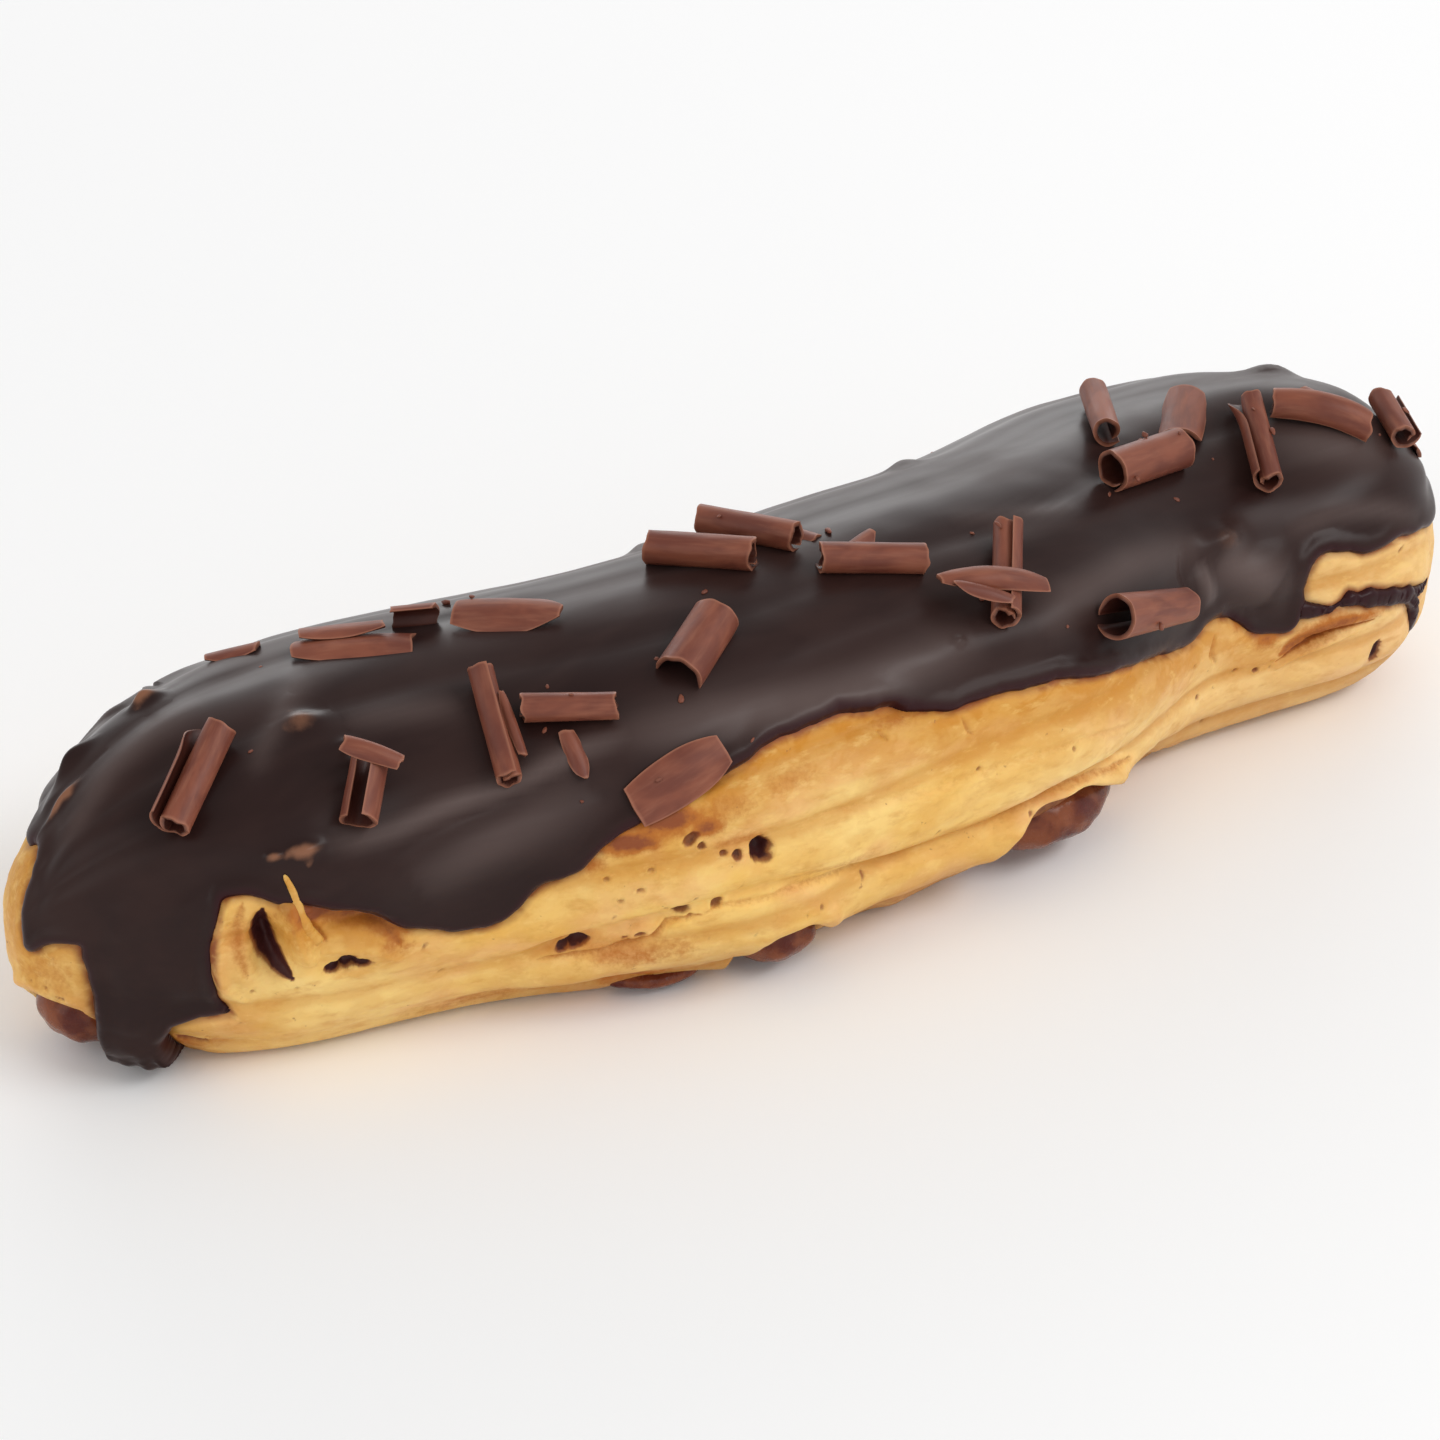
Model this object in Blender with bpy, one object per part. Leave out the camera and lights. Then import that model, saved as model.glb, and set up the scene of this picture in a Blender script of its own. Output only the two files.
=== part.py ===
# Hazelnut chocolate eclair.
# A baked choux shell holds a core of hazelnut chocolate filling, which oozes out at the foot in a
# few places. Dark chocolate icing covers the top and runs down to the plate at the left end, and
# rolled curls of milk chocolate lie scattered on the icing.
#
# The eclair lies along X with its flat underside on Z = 0. Its near side, which shows a wide band
# of bare choux, faces -Y. Lengths are in metres: tables headed mm are multiplied by MM where they
# are read. The origin is the middle of the whole eclair's box, at the bottom.

import math

import bmesh
import bpy
import numpy as np
from mathutils import Matrix, Vector, noise
from mathutils.bvhtree import BVHTree

MM = 0.001

# Body of the eclair, measured over the icing
LENGTH = 150 * MM
LEFT_CAP = 23.8 * MM
RIGHT_CAP = 20.2 * MM
CAP_POWER = 2.2
SECTION_POWER = 2.3
WIDEST_SHARE = 0.44
UNDERCUT = 1.25
BASE_ROUNDING = 1.2 * MM

# mm: place along the eclair, sideways drift of its middle, half width, height
BODY_STATIONS = (
    (-64, 2.8, 13.8, 27.9),
    (-50, 3.0, 18.2, 28.9),
    (-36, 1.4, 19.4, 29.6),
    (-20, -3.4, 20.3, 30.7),
    (-5, -4.8, 20.1, 31.0),
    (10, -4.0, 20.0, 31.0),
    (25, -2.9, 19.5, 30.4),
    (40, 2.6, 18.2, 28.9),
    (52, 3.5, 18.4, 28.1),
    (64, 1.8, 18.9, 29.6),
)

# Mesh of the body: rings along it, and spans round it in degrees from the top towards the near
# side, each with its number of steps
RING_COUNT = 49
SECTION_SPANS = ((54, 126, 15), (126, 234, 8), (234, 304, 10), (304, 414, 11))

# Piped choux: lengthwise lobes left by a star nozzle, a crease and the foot below it
NOZZLE_POINTS = 16
LOBE_HEIGHT = 0.45 * MM
LOBE_MEAN = 0.65
LOBE_SWAY = 0.5
LOBE_SWAY_LENGTH = 24 * MM
LOBE_FADE = 16 * MM
LUMP_HEIGHT = 0.55 * MM
LUMP_SIZE = 13 * MM
RELIEF_FADE_HEIGHT = 2.5 * MM
CREASE_DEPTH = 1.1 * MM
CREASE_WIDTH = 0.9 * MM
CREASE_FADE = 8 * MM
FOOT_ROLL_HEIGHT = 0.7 * MM
FOOT_ROLL_DROP = 4.2 * MM
FOOT_ROLL_WIDTH = 2.2 * MM
# mm: place along the eclair, height of the crease over the plate
CREASE_LINE = ((-38, 7.6), (-26, 10.6), (-16, 12.2), (-5, 10.6), (11, 9.0), (19, 10.6), (34, 7.0))

# Folds and pits in the bare choux. mm: place round the side, height, half length, half height,
# depth (negative stands proud)
CHOUX_DENTS = (
    (-58.6, 14.4, 1.6, 3.6, 1.5),
    (-55.2, 14.6, 1.8, 3.4, -0.7),
    (-60.8, 13.6, 1.2, 3.8, -0.5),
    (-51.2, 11.6, 2.4, 1.0, 0.8),
    (-31.0, 9.0, 2.0, 0.9, 0.7),
    (-14.5, 15.8, 1.3, 1.5, 0.9),
    (48.0, 9.8, 3.0, 1.0, -0.4),
    (55.0, 11.4, 5.0, 0.9, 0.6),
    (61.8, 7.0, 1.0, 1.6, 0.8),
    (130.0, 9.0, 2.4, 1.1, 0.8),
    (176.0, 10.5, 3.0, 1.3, 0.8),
    (205.0, 8.0, 2.0, 1.2, 0.7),
)

# Icing
ICING_THICKNESS = 1.3 * MM
ICING_LIP = 0.3 * MM
ICING_ROLL = 2.4 * MM
ICING_RIPPLE = 0.3 * MM
ICING_RIPPLE_SIZE = 16 * MM
ICING_RIPPLE_SHAPE = (0.5, 1.0, 1.0)
ICING_BED = 1.4 * MM
BED_START = -1.0 * MM
BED_WIDTH = 3.5 * MM
PIECE_GAP = 0.3 * MM
EDGE_STEP = 0.5 * MM
EDGE_SOFTNESS = 0.6 * MM
JOIN_SOFTNESS = 1.0 * MM
LOWEST_ICING = 1.5 * MM
CUT_MARGIN = 0.15

# Places round the side run on through the ends: along X on the near side, then on round each end
# at END_RADIUS about these two centres, and back along the far side
LEFT_CENTRE = -54 * MM
RIGHT_CENTRE = 55 * MM
END_RADIUS = 19 * MM

# mm: place round the side, height of the icing's lower edge over the plate
LEFT_END_EDGE = (
    (-112, 25.0), (-107, 25.5), (-100, 22.4), (-95, 21.8), (-90, 23.6), (-87.4, 20.4), (-85, 21.4),
    (-82.7, 20.2), (-82.0, 16.6), (-81.2, 13.7), (-77, 13.9), (-70, 16.0), (-63.5, 19.2),
)
NEAR_SIDE_EDGE = (
    (-60, 19.4), (-57.7, 18.5), (-54.5, 18.1), (-51, 16.9), (-48.5, 16.0), (-46, 14.2), (-42, 12.9),
    (-38.4, 12.6), (-36.4, 13.5), (-33.9, 15.6), (-30.5, 16.6), (-28.5, 18.8), (-24, 21.2),
    (-19.4, 22.6), (-12, 24.7), (-4, 25.2), (1, 24.3), (6, 22.5), (12, 22.4), (20, 21.5),
    (27, 19.7), (35, 17.1), (38.6, 16.0), (40.8, 16.8), (43.0, 16.9), (44.9, 16.0), (46.2, 13.8),
    (48.6, 13.2), (50.8, 12.9), (52.4, 13.8),
)
RIGHT_END_EDGE = (
    (53.2, 16.2), (53.2, 18.3), (54.2, 19.6), (56.8, 19.8), (59.6, 19.0), (61.2, 18.9), (63.8, 19.5),
    (66.2, 18.7), (69.0, 17.8), (73, 18.2), (78, 18.8), (84, 18.2), (90, 15.6), (96, 13.2),
    (101, 13.6), (105, 16.2),
)
FAR_SIDE_EDGE = (
    (114, 17.2), (124, 15.4), (133, 11.4), (141, 10.8), (149, 14.2), (160, 18.6), (172, 19.6),
    (181, 16.4), (188, 12.6), (195, 13.0), (203, 18.0), (212, 22.2), (225.4, 25.0),
)

# mm: outline of the tongue of icing that runs down the left end, place round the side and height
TONGUE_OUTLINE = (
    (-77.2, 16.0), (-76.4, 11.6), (-76.0, 7.7), (-76.9, 4.6), (-77.6, 0.5), (-70.2, 0.5),
    (-70.0, 4.0), (-68.9, 5.7), (-65.9, 6.9), (-62.5, 7.3), (-63.8, 9.8), (-64.0, 13.5),
    (-63.2, 18.0), (-62.0, 22.0), (-76.8, 22.0),
)
# mm: threads and drips of icing, each from one point to another with a radius at each end
ICING_THREADS = (
    (-80.0, 14.3, -84.2, 14.2, 0.9, 0.6),
    (52.4, 14.9, 55.3, 14.3, 1.0, 0.5),
    (55.3, 14.3, 57.6, 14.9, 0.5, 1.0),
    (57.6, 14.9, 59.6, 14.5, 1.0, 1.15),
    (59.6, 14.5, 62.2, 13.7, 1.15, 0.9),
    (62.2, 13.7, 64.4, 12.9, 0.9, 1.15),
    (64.4, 12.9, 66.4, 10.6, 1.15, 0.9),
    (66.4, 10.6, 67.4, 6.4, 0.9, 0.75),
    (65.8, 12.4, 72.5, 12.8, 0.9, 1.0),
    (72.5, 12.8, 79.0, 18.0, 1.0, 1.5),
)
# The pool where the tongue meets the plate. mm: place round the side, half length, height, bulge
FOOT_POOL = (-73.4, 4.6, 6.0, 3.2)

# Filling: a core along the inside, and the places where it oozes out.
# mm: place along, sideways, height, half length, half width, half height, turn in plan in degrees
FILLING_CORE = ((-64, 1.5), (-40, 7.0), (0, 7.5), (36, 6.6), (60, 1.5))
CORE_HEIGHT = 10.5 * MM
CORE_SIDES = 10
CORE_RINGS = 9
CORE_FLATNESS = 0.8
FILLING_SPOTS = (
    (-68.0, 2.0, 4.6, 5.2, 4.5, 3.6, 0),
    (-22.5, -14.4, 2.9, 6.2, 6.0, 1.8, -4),
    (-12.2, -16.2, 3.9, 4.8, 5.8, 2.8, 6),
    (19.8, -15.2, 4.7, 7.4, 7.2, 3.7, 8),
    (10.0, 8.4, 4.0, 6.4, 6.6, 2.8, -5),
)
SPOT_SIDES = 10
SPOT_RINGS = 5
LINK_REACH = 52 * MM
LINK_START_RADIUS = 2.6 * MM
LINK_END_SHARE = 0.8
LINK_SIDES = 6
SPOT_CLEARANCE = 0.5 * MM
ROOM_CLEARANCE = 0.2 * MM

# Chocolate curls. Each lies on the icing at a place along the eclair (mm) and round it (degrees
# from the top, positive to the near side), and points away from +X by a heading in the surface
# (degrees, positive to the near side). Then come its length and radius (mm), the turns of its roll,
# the angle from straight up where the roll starts (degrees), and how far its middle bows (mm).
CURL_WALL = 0.5 * MM
CURL_STEPS = 9
CURL_TIGHTENING = 0.85 * MM
CURL_SAMPLES = 9
CURL_DROP = 4 * MM
CURL_DROP_STEPS = 12
CURL_LIFT_STEP = 0.15 * MM
CURL_LIFT_LIMIT = 60
CURL_NEIGHBOURS = 20 * MM
END_RAGGEDNESS = 0.4 * MM
RAGGED_WAVES = 1.7
RAGGED_SHIFT = 9
SURFACE_STEP = 0.4 * MM
SURFACE_TURN = 0.02
CURLS = (
    ("curl_01", -59.3, 22.1, -46.5, 10.4, 1.90, 1.30, 42, 0.0),
    ("curl_02", -46.8, 42.1, 118.6, 6.4, 1.95, 0.86, 2, 0.0),
    ("curl_03", -38.9, -7.0, 20.9, 10.8, 3.0, 0.26, -50, 0.3),
    ("curl_04", -32.6, -11.6, 14.6, 4.0, 1.5, 0.48, -24, 0.0),
    ("curl_05", -25.9, -4.5, 21.7, 9.8, 3.0, 0.28, -66, 0.2),
    ("curl_06", -33.6, 32.2, -90.8, 11.2, 1.45, 1.25, -12, 0.0),
    ("curl_07", -27.8, 31.3, 9.2, 8.2, 1.6, 1.20, 26, 0.0),
    ("curl_08", -6.6, -8.0, 45.5, 9.9, 1.8, 1.20, -6, 0.0),
    ("curl_09", -0.2, -12.6, 69.1, 10.6, 1.6, 1.10, 10, 0.0),
    ("curl_10", 6.3, 12.6, 28.7, 9.6, 1.65, 1.15, 24, 0.0),
    ("curl_11", -14.0, 19.6, 139.4, 8.2, 2.4, 0.58, -104, 0.0),
    ("curl_12", -20.8, 56.4, 157.8, 9.8, 4.6, 0.175, -30, 0.4),
    ("curl_13", 17.3, 29.3, 124.9, 11.0, 1.65, 1.20, 4, 0.0),
    ("curl_14", 29.9, 58.0, 17.0, 11.6, 2.6, 0.94, 190, 0.0),
    ("curl_15", 41.6, -3.5, 129.4, 9.6, 1.65, 1.05, 130, 0.0),
    ("curl_16", 39.9, 19.4, 3.7, 9.8, 2.2, 1.10, 210, 0.0),
    ("curl_17", 50.0, 3.0, 128.1, 8.4, 2.6, 0.34, -62, 0.0),
    ("curl_18", 53.4, 22.0, -72.0, 11.0, 1.65, 1.30, 38, 0.0),
    ("curl_19", 61.4, 18.0, 34.5, 9.6, 1.75, 0.90, -120, 0.9),
    ("curl_20", 68.6, 23.0, 109.8, 6.4, 1.6, 1.15, 62, 0.0),
    ("curl_21", -47.5, -27.0, 30, 4.8, 1.7, 0.34, -60, 0.0),
    ("curl_22", -25.0, -76, 40, 8.6, 1.3, 0.95, 90, 0.0),
    ("curl_23", -13.5, -77, 165, 9.0, 1.3, 0.95, -90, 0.0),
    ("curl_24", 20.0, -76, 15, 9.4, 1.35, 1.00, 160, 0.0),
    ("curl_25", 34.0, -82, 76, 8.0, 1.3, 0.95, -40, 0.0),
    ("curl_26", 43.5, -75, 20, 8.4, 2.0, 0.45, -80, 0.0),
    ("curl_27", 56.0, -74, 165, 9.0, 1.35, 1.00, 120, 0.0),
)

# Colours (linear), and roughness
CHOUX_COLOUR = (0.76, 0.46, 0.15, 1)
CHOUX_ROUGHNESS = 0.62
ICING_COLOUR = (0.040, 0.026, 0.022, 1)
ICING_ROUGHNESS = 0.34
FILLING_COLOUR = (0.150, 0.036, 0.018, 1)
FILLING_ROUGHNESS = 0.22
CURL_COLOUR = (0.185, 0.062, 0.042, 1)
CURL_ROUGHNESS = 0.45


def clear_scene():
    for item in list(bpy.data.objects):
        bpy.data.objects.remove(item, do_unlink=True)


def make_material(name, colour, roughness):
    material = bpy.data.materials.new(name)
    material.use_nodes = True
    shader = material.node_tree.nodes["Principled BSDF"]
    shader.inputs["Base Color"].default_value = colour
    shader.inputs["Roughness"].default_value = roughness
    shader.inputs["Metallic"].default_value = 0.0
    material.diffuse_color = colour
    return material


def make_object(name, points, faces, material):
    mesh = bpy.data.meshes.new(name)
    mesh.from_pydata([tuple(p) for p in points], [], [tuple(f) for f in faces])
    mesh.validate()
    mesh.materials.append(material)
    mesh.shade_smooth()
    mesh.set_sharp_from_angle(angle=math.radians(50))
    item = bpy.data.objects.new(name, mesh)
    bpy.context.scene.collection.objects.link(item)
    return item


# Curves and blends

def smooth_through(table, at):
    """Height at each place of a natural cubic curve through the table's (place, height) pairs."""
    knots = np.array([row[0] for row in table]) * MM
    heights = np.array([row[1] for row in table]) * MM
    gaps = np.diff(knots)
    slopes = np.diff(heights) / gaps
    matrix = np.eye(len(knots))
    bends = np.zeros(len(knots))
    for i in range(1, len(knots) - 1):
        matrix[i, i - 1:i + 2] = gaps[i - 1], 2 * (gaps[i - 1] + gaps[i]), gaps[i]
        bends[i] = 6 * (slopes[i] - slopes[i - 1])
    bends = np.linalg.solve(matrix, bends)
    i = np.clip(np.searchsorted(knots, at) - 1, 0, len(gaps) - 1)
    before = (knots[i + 1] - at) / gaps[i]
    after = 1 - before
    curve = (before ** 3 - before) * bends[i] + (after ** 3 - after) * bends[i + 1]
    return before * heights[i] + after * heights[i + 1] + curve * gaps[i] ** 2 / 6


def ease(value):
    value = np.clip(value, 0, 1)
    return value * value * (3 - 2 * value)


def soft_floor(z, rounding):
    """z cut off at 0, with the corner rounded."""
    rounded = (z + rounding) ** 2 / (4 * rounding)
    return np.where(z < -rounding, 0, np.where(z > rounding, z, rounded))


def soft_union(a, b, softness):
    return np.maximum(a, b) + np.maximum(softness - np.abs(a - b), 0) ** 2 / (4 * softness)


def lumps(points, size):
    """Gentle noise between about -1 and 1 at each point, with bumps of about the given size."""
    return np.array([noise.noise(Vector(p) / size) for p in points.reshape(-1, 3)]).reshape(
        points.shape[:-1])


# The body's outer surface, before choux and icing part ways

def body_drift(x):
    return smooth_through([(row[0], row[1]) for row in BODY_STATIONS], x)


def body_surface(x, turn):
    """Point at place x along the eclair and angle turn round it, from the top to the near side."""
    half_width = smooth_through([(row[0], row[2]) for row in BODY_STATIONS], x)
    height = smooth_through([(row[0], row[3]) for row in BODY_STATIONS], x)
    from_left = np.clip((x + LENGTH / 2) / LEFT_CAP, 0, 1)
    from_right = np.clip((LENGTH / 2 - x) / RIGHT_CAP, 0, 1)
    taper = (1 - (1 - from_left) ** CAP_POWER) ** (1 / CAP_POWER)
    taper = taper * (1 - (1 - from_right) ** CAP_POWER) ** (1 / CAP_POWER)
    across = np.sign(np.sin(turn)) * np.abs(np.sin(turn)) ** (2 / SECTION_POWER)
    up = np.abs(np.cos(turn)) ** (2 / SECTION_POWER)
    widest = WIDEST_SHARE * height
    over = widest + (height - widest) * taper * up
    under = widest - UNDERCUT * widest * taper * up
    y = body_drift(x) - half_width * taper * across
    z = soft_floor(np.where(np.cos(turn) >= 0, over, under), BASE_ROUNDING)
    return np.stack([x, y, z], axis=-1)


class Grid:
    """Closed net of rings over the body, with one point at each tip."""

    def __init__(self):
        spans = [np.radians(np.linspace(a, b, steps, endpoint=False)) for a, b, steps in SECTION_SPANS]
        self.turns = np.concatenate(spans)
        rings = np.pi * np.arange(1, RING_COUNT) / RING_COUNT
        self.x = -np.cos(rings) * LENGTH / 2
        x, turn = np.meshgrid(self.x, self.turns, indexing="ij")
        tips = [body_surface(np.array([side * LENGTH / 2]), np.array([0.0])) for side in (-1, 1)]
        self.points = np.concatenate([tips[0], body_surface(x, turn).reshape(-1, 3), tips[1]])
        tip_turns = np.zeros(1)
        self.turn = np.concatenate([tip_turns, turn.ravel(), tip_turns])
        self.triangles = self.make_triangles()

    def make_triangles(self):
        steps = len(self.turns)
        rings = len(self.x)
        last = rings * steps + 1
        triangles = []
        for j in range(steps):
            k = (j + 1) % steps
            triangles.append((0, 1 + k, 1 + j))
            triangles.append((last, last - steps + j, last - steps + k))
            for i in range(rings - 1):
                a = 1 + i * steps + j
                b = 1 + i * steps + k
                triangles.append((a, b, b + steps))
                triangles.append((a, b + steps, a + steps))
        return np.array(triangles)

    def normals(self, points):
        corners = points[self.triangles]
        faces = np.cross(corners[:, 1] - corners[:, 0], corners[:, 2] - corners[:, 0])
        sums = np.zeros_like(points)
        for corner in range(3):
            np.add.at(sums, self.triangles[:, corner], faces)
        return sums / np.linalg.norm(sums, axis=1, keepdims=True)


def side_place(points):
    """Place round the side of each point: x on the near side, and on round the two ends."""
    x, y = points[..., 0], points[..., 1]
    drift = body_drift(x)
    far_start = RIGHT_CENTRE + np.pi * END_RADIUS
    place = np.where(y < drift, x, far_start + RIGHT_CENTRE - x)
    for centre, side in ((LEFT_CENTRE, -1), (RIGHT_CENTRE, 1)):
        middle = body_drift(np.array([centre]))[0]
        angle = np.arctan2(side * (x - centre), middle - y)
        beyond = side * (x - centre) > 0
        place = np.where(beyond, centre + side * END_RADIUS * angle, place)
    return place


# Where the icing lies, as distances on the chart of side place and height

def segment_distance(place, height, start, end):
    """Distance to the line from start to end, and how far along that line the nearest point is."""
    along = np.array(end) - np.array(start)
    share = ((place - start[0]) * along[0] + (height - start[1]) * along[1]) / (along @ along)
    share = np.clip(share, 0, 1)
    gap = np.hypot(place - start[0] - share * along[0], height - start[1] - share * along[1])
    return gap, share


def edge_reach(place, height):
    """Distance above the icing's main lower edge; negative below it."""
    table = np.array(LEFT_END_EDGE + NEAR_SIDE_EDGE + RIGHT_END_EDGE + FAR_SIDE_EDGE) * MM
    places = np.arange(table[0, 0], table[-1, 0], EDGE_STEP)
    heights = np.interp(places, table[:, 0], table[:, 1])
    reach = int(3 * EDGE_SOFTNESS / EDGE_STEP)
    weights = np.exp(-0.5 * (np.arange(-reach, reach + 1) * EDGE_STEP / EDGE_SOFTNESS) ** 2)
    heights = np.convolve(np.pad(heights, reach, mode="edge"), weights / weights.sum(), "valid")
    nearest = np.full(place.shape, np.inf)
    for i in range(len(places) - 1):
        gap, _ = segment_distance(place, height, (places[i], heights[i]), (places[i + 1], heights[i + 1]))
        nearest = np.minimum(nearest, gap)
    return np.where(height > np.interp(place, places, heights), nearest, -nearest)


def outline_reach(place, height, outline):
    """Distance inside a closed outline; negative outside it."""
    corners = np.array(outline) * MM
    nearest = np.full(place.shape, np.inf)
    inside = np.zeros(place.shape, bool)
    for start, end in zip(corners, np.roll(corners, -1, axis=0)):
        gap, _ = segment_distance(place, height, start, end)
        nearest = np.minimum(nearest, gap)
        spans = (start[1] > height) != (end[1] > height)
        rise = end[1] - start[1] if end[1] != start[1] else MM
        crossing = start[0] + (height - start[1]) * (end[0] - start[0]) / rise
        inside ^= spans & (place < crossing)
    return np.where(inside, nearest, -nearest)


def icing_reach(points):
    """Distance inside the iced area along the surface; negative on bare choux."""
    place = side_place(points)
    height = points[..., 2]
    reach = edge_reach(place, height)
    reach = soft_union(reach, outline_reach(place, height, TONGUE_OUTLINE), JOIN_SOFTNESS)
    for x0, z0, x1, z1, r0, r1 in np.array(ICING_THREADS) * MM:
        gap, share = segment_distance(place, height, (x0, z0), (x1, z1))
        reach = soft_union(reach, r0 + (r1 - r0) * share - gap, JOIN_SOFTNESS / 2)
    return np.minimum(reach, height - LOWEST_ICING)


# Choux shell

def choux_relief(points, turn):
    """How far the choux stands out from the body: lobes, crease, foot, folds and lumps."""
    place = side_place(points)
    x, height = points[..., 0], points[..., 2]
    sway = LOBE_SWAY * np.sin(x / LOBE_SWAY_LENGTH)
    lobes = np.abs(np.cos(turn * NOZZLE_POINTS / 2 + sway))
    from_tip = LENGTH / 2 - np.abs(x)
    relief = 2 * LOBE_HEIGHT * (lobes - LOBE_MEAN) * ease(from_tip / LOBE_FADE)
    first, last = CREASE_LINE[0][0] * MM, CREASE_LINE[-1][0] * MM
    line = smooth_through(CREASE_LINE, np.clip(x, first, last))
    strength = ease((x - first) / CREASE_FADE) * ease((last - x) / CREASE_FADE) * (place == x)
    below = (line - height) / CREASE_WIDTH
    relief = relief - strength * CREASE_DEPTH * np.exp(-below * below)
    roll = (line - FOOT_ROLL_DROP - height) / FOOT_ROLL_WIDTH
    relief = relief + strength * FOOT_ROLL_HEIGHT * np.exp(-roll * roll)
    for at, level, half_length, half_height, depth in np.array(CHOUX_DENTS) * MM:
        spread = ((place - at) / half_length) ** 2 + ((height - level) / half_height) ** 2
        relief = relief - depth * np.exp(-spread)
    relief = relief + LUMP_HEIGHT * lumps(points, LUMP_SIZE)
    return relief * ease(height / RELIEF_FADE_HEIGHT)


def choux_surface(grid):
    """Points of the choux: sunk under the icing, and with its relief where it is bare."""
    reach = icing_reach(grid.points)
    covered = ease((reach - BED_START) / BED_WIDTH)
    rise = choux_relief(grid.points, grid.turn) * (1 - covered) - ICING_BED * covered
    points = grid.points + grid.normals(grid.points) * rise[:, None]
    points[:, 2] = np.where(grid.points[:, 2] > 0, np.maximum(points[:, 2], 0), 0)
    return points


def build_choux(grid, material, room):
    item = make_object("choux", choux_surface(grid), grid.triangles, material)
    cut = item.modifiers.new("filling room", "BOOLEAN")
    cut.operation = "DIFFERENCE"
    cut.object = room
    return item


# Icing

def icing_thickness(points, reach):
    rounded = np.sqrt(1 - (1 - np.clip(reach / ICING_ROLL, 0, 1)) ** 2)
    ripple = ICING_RIPPLE * lumps(points * ICING_RIPPLE_SHAPE, ICING_RIPPLE_SIZE)
    at, half_length, top, bulge = np.array(FOOT_POOL) * MM
    across = (side_place(points) - at) / half_length
    pool = bulge * np.exp(-across ** 4) * ease(1 - points[:, 2] / top)
    return ICING_LIP + ICING_THICKNESS * rounded + ripple * rounded + pool


def cut_share(a, b, reach):
    """Where the icing's edge crosses from point a to point b, kept clear of both ends."""
    return float(np.clip(reach[a] / (reach[a] - reach[b]), CUT_MARGIN, 1 - CUT_MARGIN))


def build_icing(grid, choux_points, material):
    """A skin over the iced triangles of the choux, cut off along the icing's edge."""
    reach = icing_reach(grid.points)
    outward = grid.normals(choux_points)
    sideways = outward + np.array([0, 0, 1]) * np.maximum(-outward[:, 2:], 0)
    sideways /= np.maximum(np.linalg.norm(sideways, axis=1, keepdims=True), MM)
    under = choux_points + outward * PIECE_GAP
    over = under + sideways * icing_thickness(grid.points, reach)[:, None]

    corners = {}
    layers = ([], [])

    def corner(a, b=None):
        key = (a, a) if b is None else (min(a, b), max(a, b))
        if key not in corners:
            share = 0.0 if b is None else cut_share(key[0], key[1], reach)
            corners[key] = len(corners)
            for layer, points in zip(layers, (under, over)):
                layer.append(points[key[0]] * (1 - share) + points[key[1]] * share)
        return corners[key]

    faces = []
    walls = []
    for triangle in grid.triangles:
        outline = []
        cuts = []
        for a, b in zip(triangle, np.roll(triangle, -1)):
            if reach[a] > 0:
                outline.append(corner(a))
            if (reach[a] > 0) != (reach[b] > 0):
                cuts.append((len(outline), reach[a] > 0))
                outline.append(corner(a, b))
        for i in range(1, len(outline) - 1):
            faces.append((outline[0], outline[i], outline[i + 1]))
        if cuts:
            leaving = [place for place, inside in cuts if inside][0]
            entering = [place for place, inside in cuts if not inside][0]
            walls.append((outline[leaving], outline[entering]))

    count = len(corners)
    solid = [(a + count, b + count, c + count) for a, b, c in faces]
    solid += [(c, b, a) for a, b, c in faces]
    solid += [(b + count, a + count, a, b) for a, b in walls]
    return make_object("icing", layers[0] + layers[1], solid, material)


# Filling

def filling_core(grow):
    """A closed spindle along the inside of the eclair."""
    places = np.linspace(FILLING_CORE[0][0] * MM - grow, FILLING_CORE[-1][0] * MM + grow, CORE_RINGS)
    radii = np.interp(places, [row[0] * MM for row in FILLING_CORE], [row[1] * MM for row in FILLING_CORE])
    net = bmesh.new()
    rings = []
    for x, radius in zip(places, radii + grow):
        y = float(body_drift(np.array([x]))[0])
        ring = []
        for side in range(CORE_SIDES):
            angle = 2 * math.pi * side / CORE_SIDES
            z = CORE_HEIGHT + CORE_FLATNESS * radius * math.sin(angle)
            ring.append(net.verts.new((x, y + radius * math.cos(angle), z)))
        rings.append(ring)
    for near, far in zip(rings, rings[1:]):
        for side in range(CORE_SIDES):
            other = (side + 1) % CORE_SIDES
            net.faces.new((near[side], near[other], far[other], far[side]))
    net.faces.new(rings[0])
    net.faces.new(rings[-1])
    bmesh.ops.recalc_face_normals(net, faces=net.faces)
    return net


def filling_spot(spot, grow):
    """A flattened ball of filling where it oozes out past the foot of the shell."""
    x, y, z, long, wide, high = [value * MM for value in spot[:6]]
    net = bmesh.new()
    bmesh.ops.create_uvsphere(net, u_segments=SPOT_SIDES, v_segments=SPOT_RINGS, radius=1)
    bmesh.ops.scale(net, vec=(long + grow, wide + grow, high + grow), verts=net.verts)
    turn = math.radians(spot[6])
    for vert in net.verts:
        across, along = vert.co.y, vert.co.x
        vert.co.x = x + along * math.cos(turn) - across * math.sin(turn)
        vert.co.y = y + along * math.sin(turn) + across * math.cos(turn)
        vert.co.z = max(vert.co.z + z, ROOM_CLEARANCE if grow else SPOT_CLEARANCE)
    return net


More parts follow.
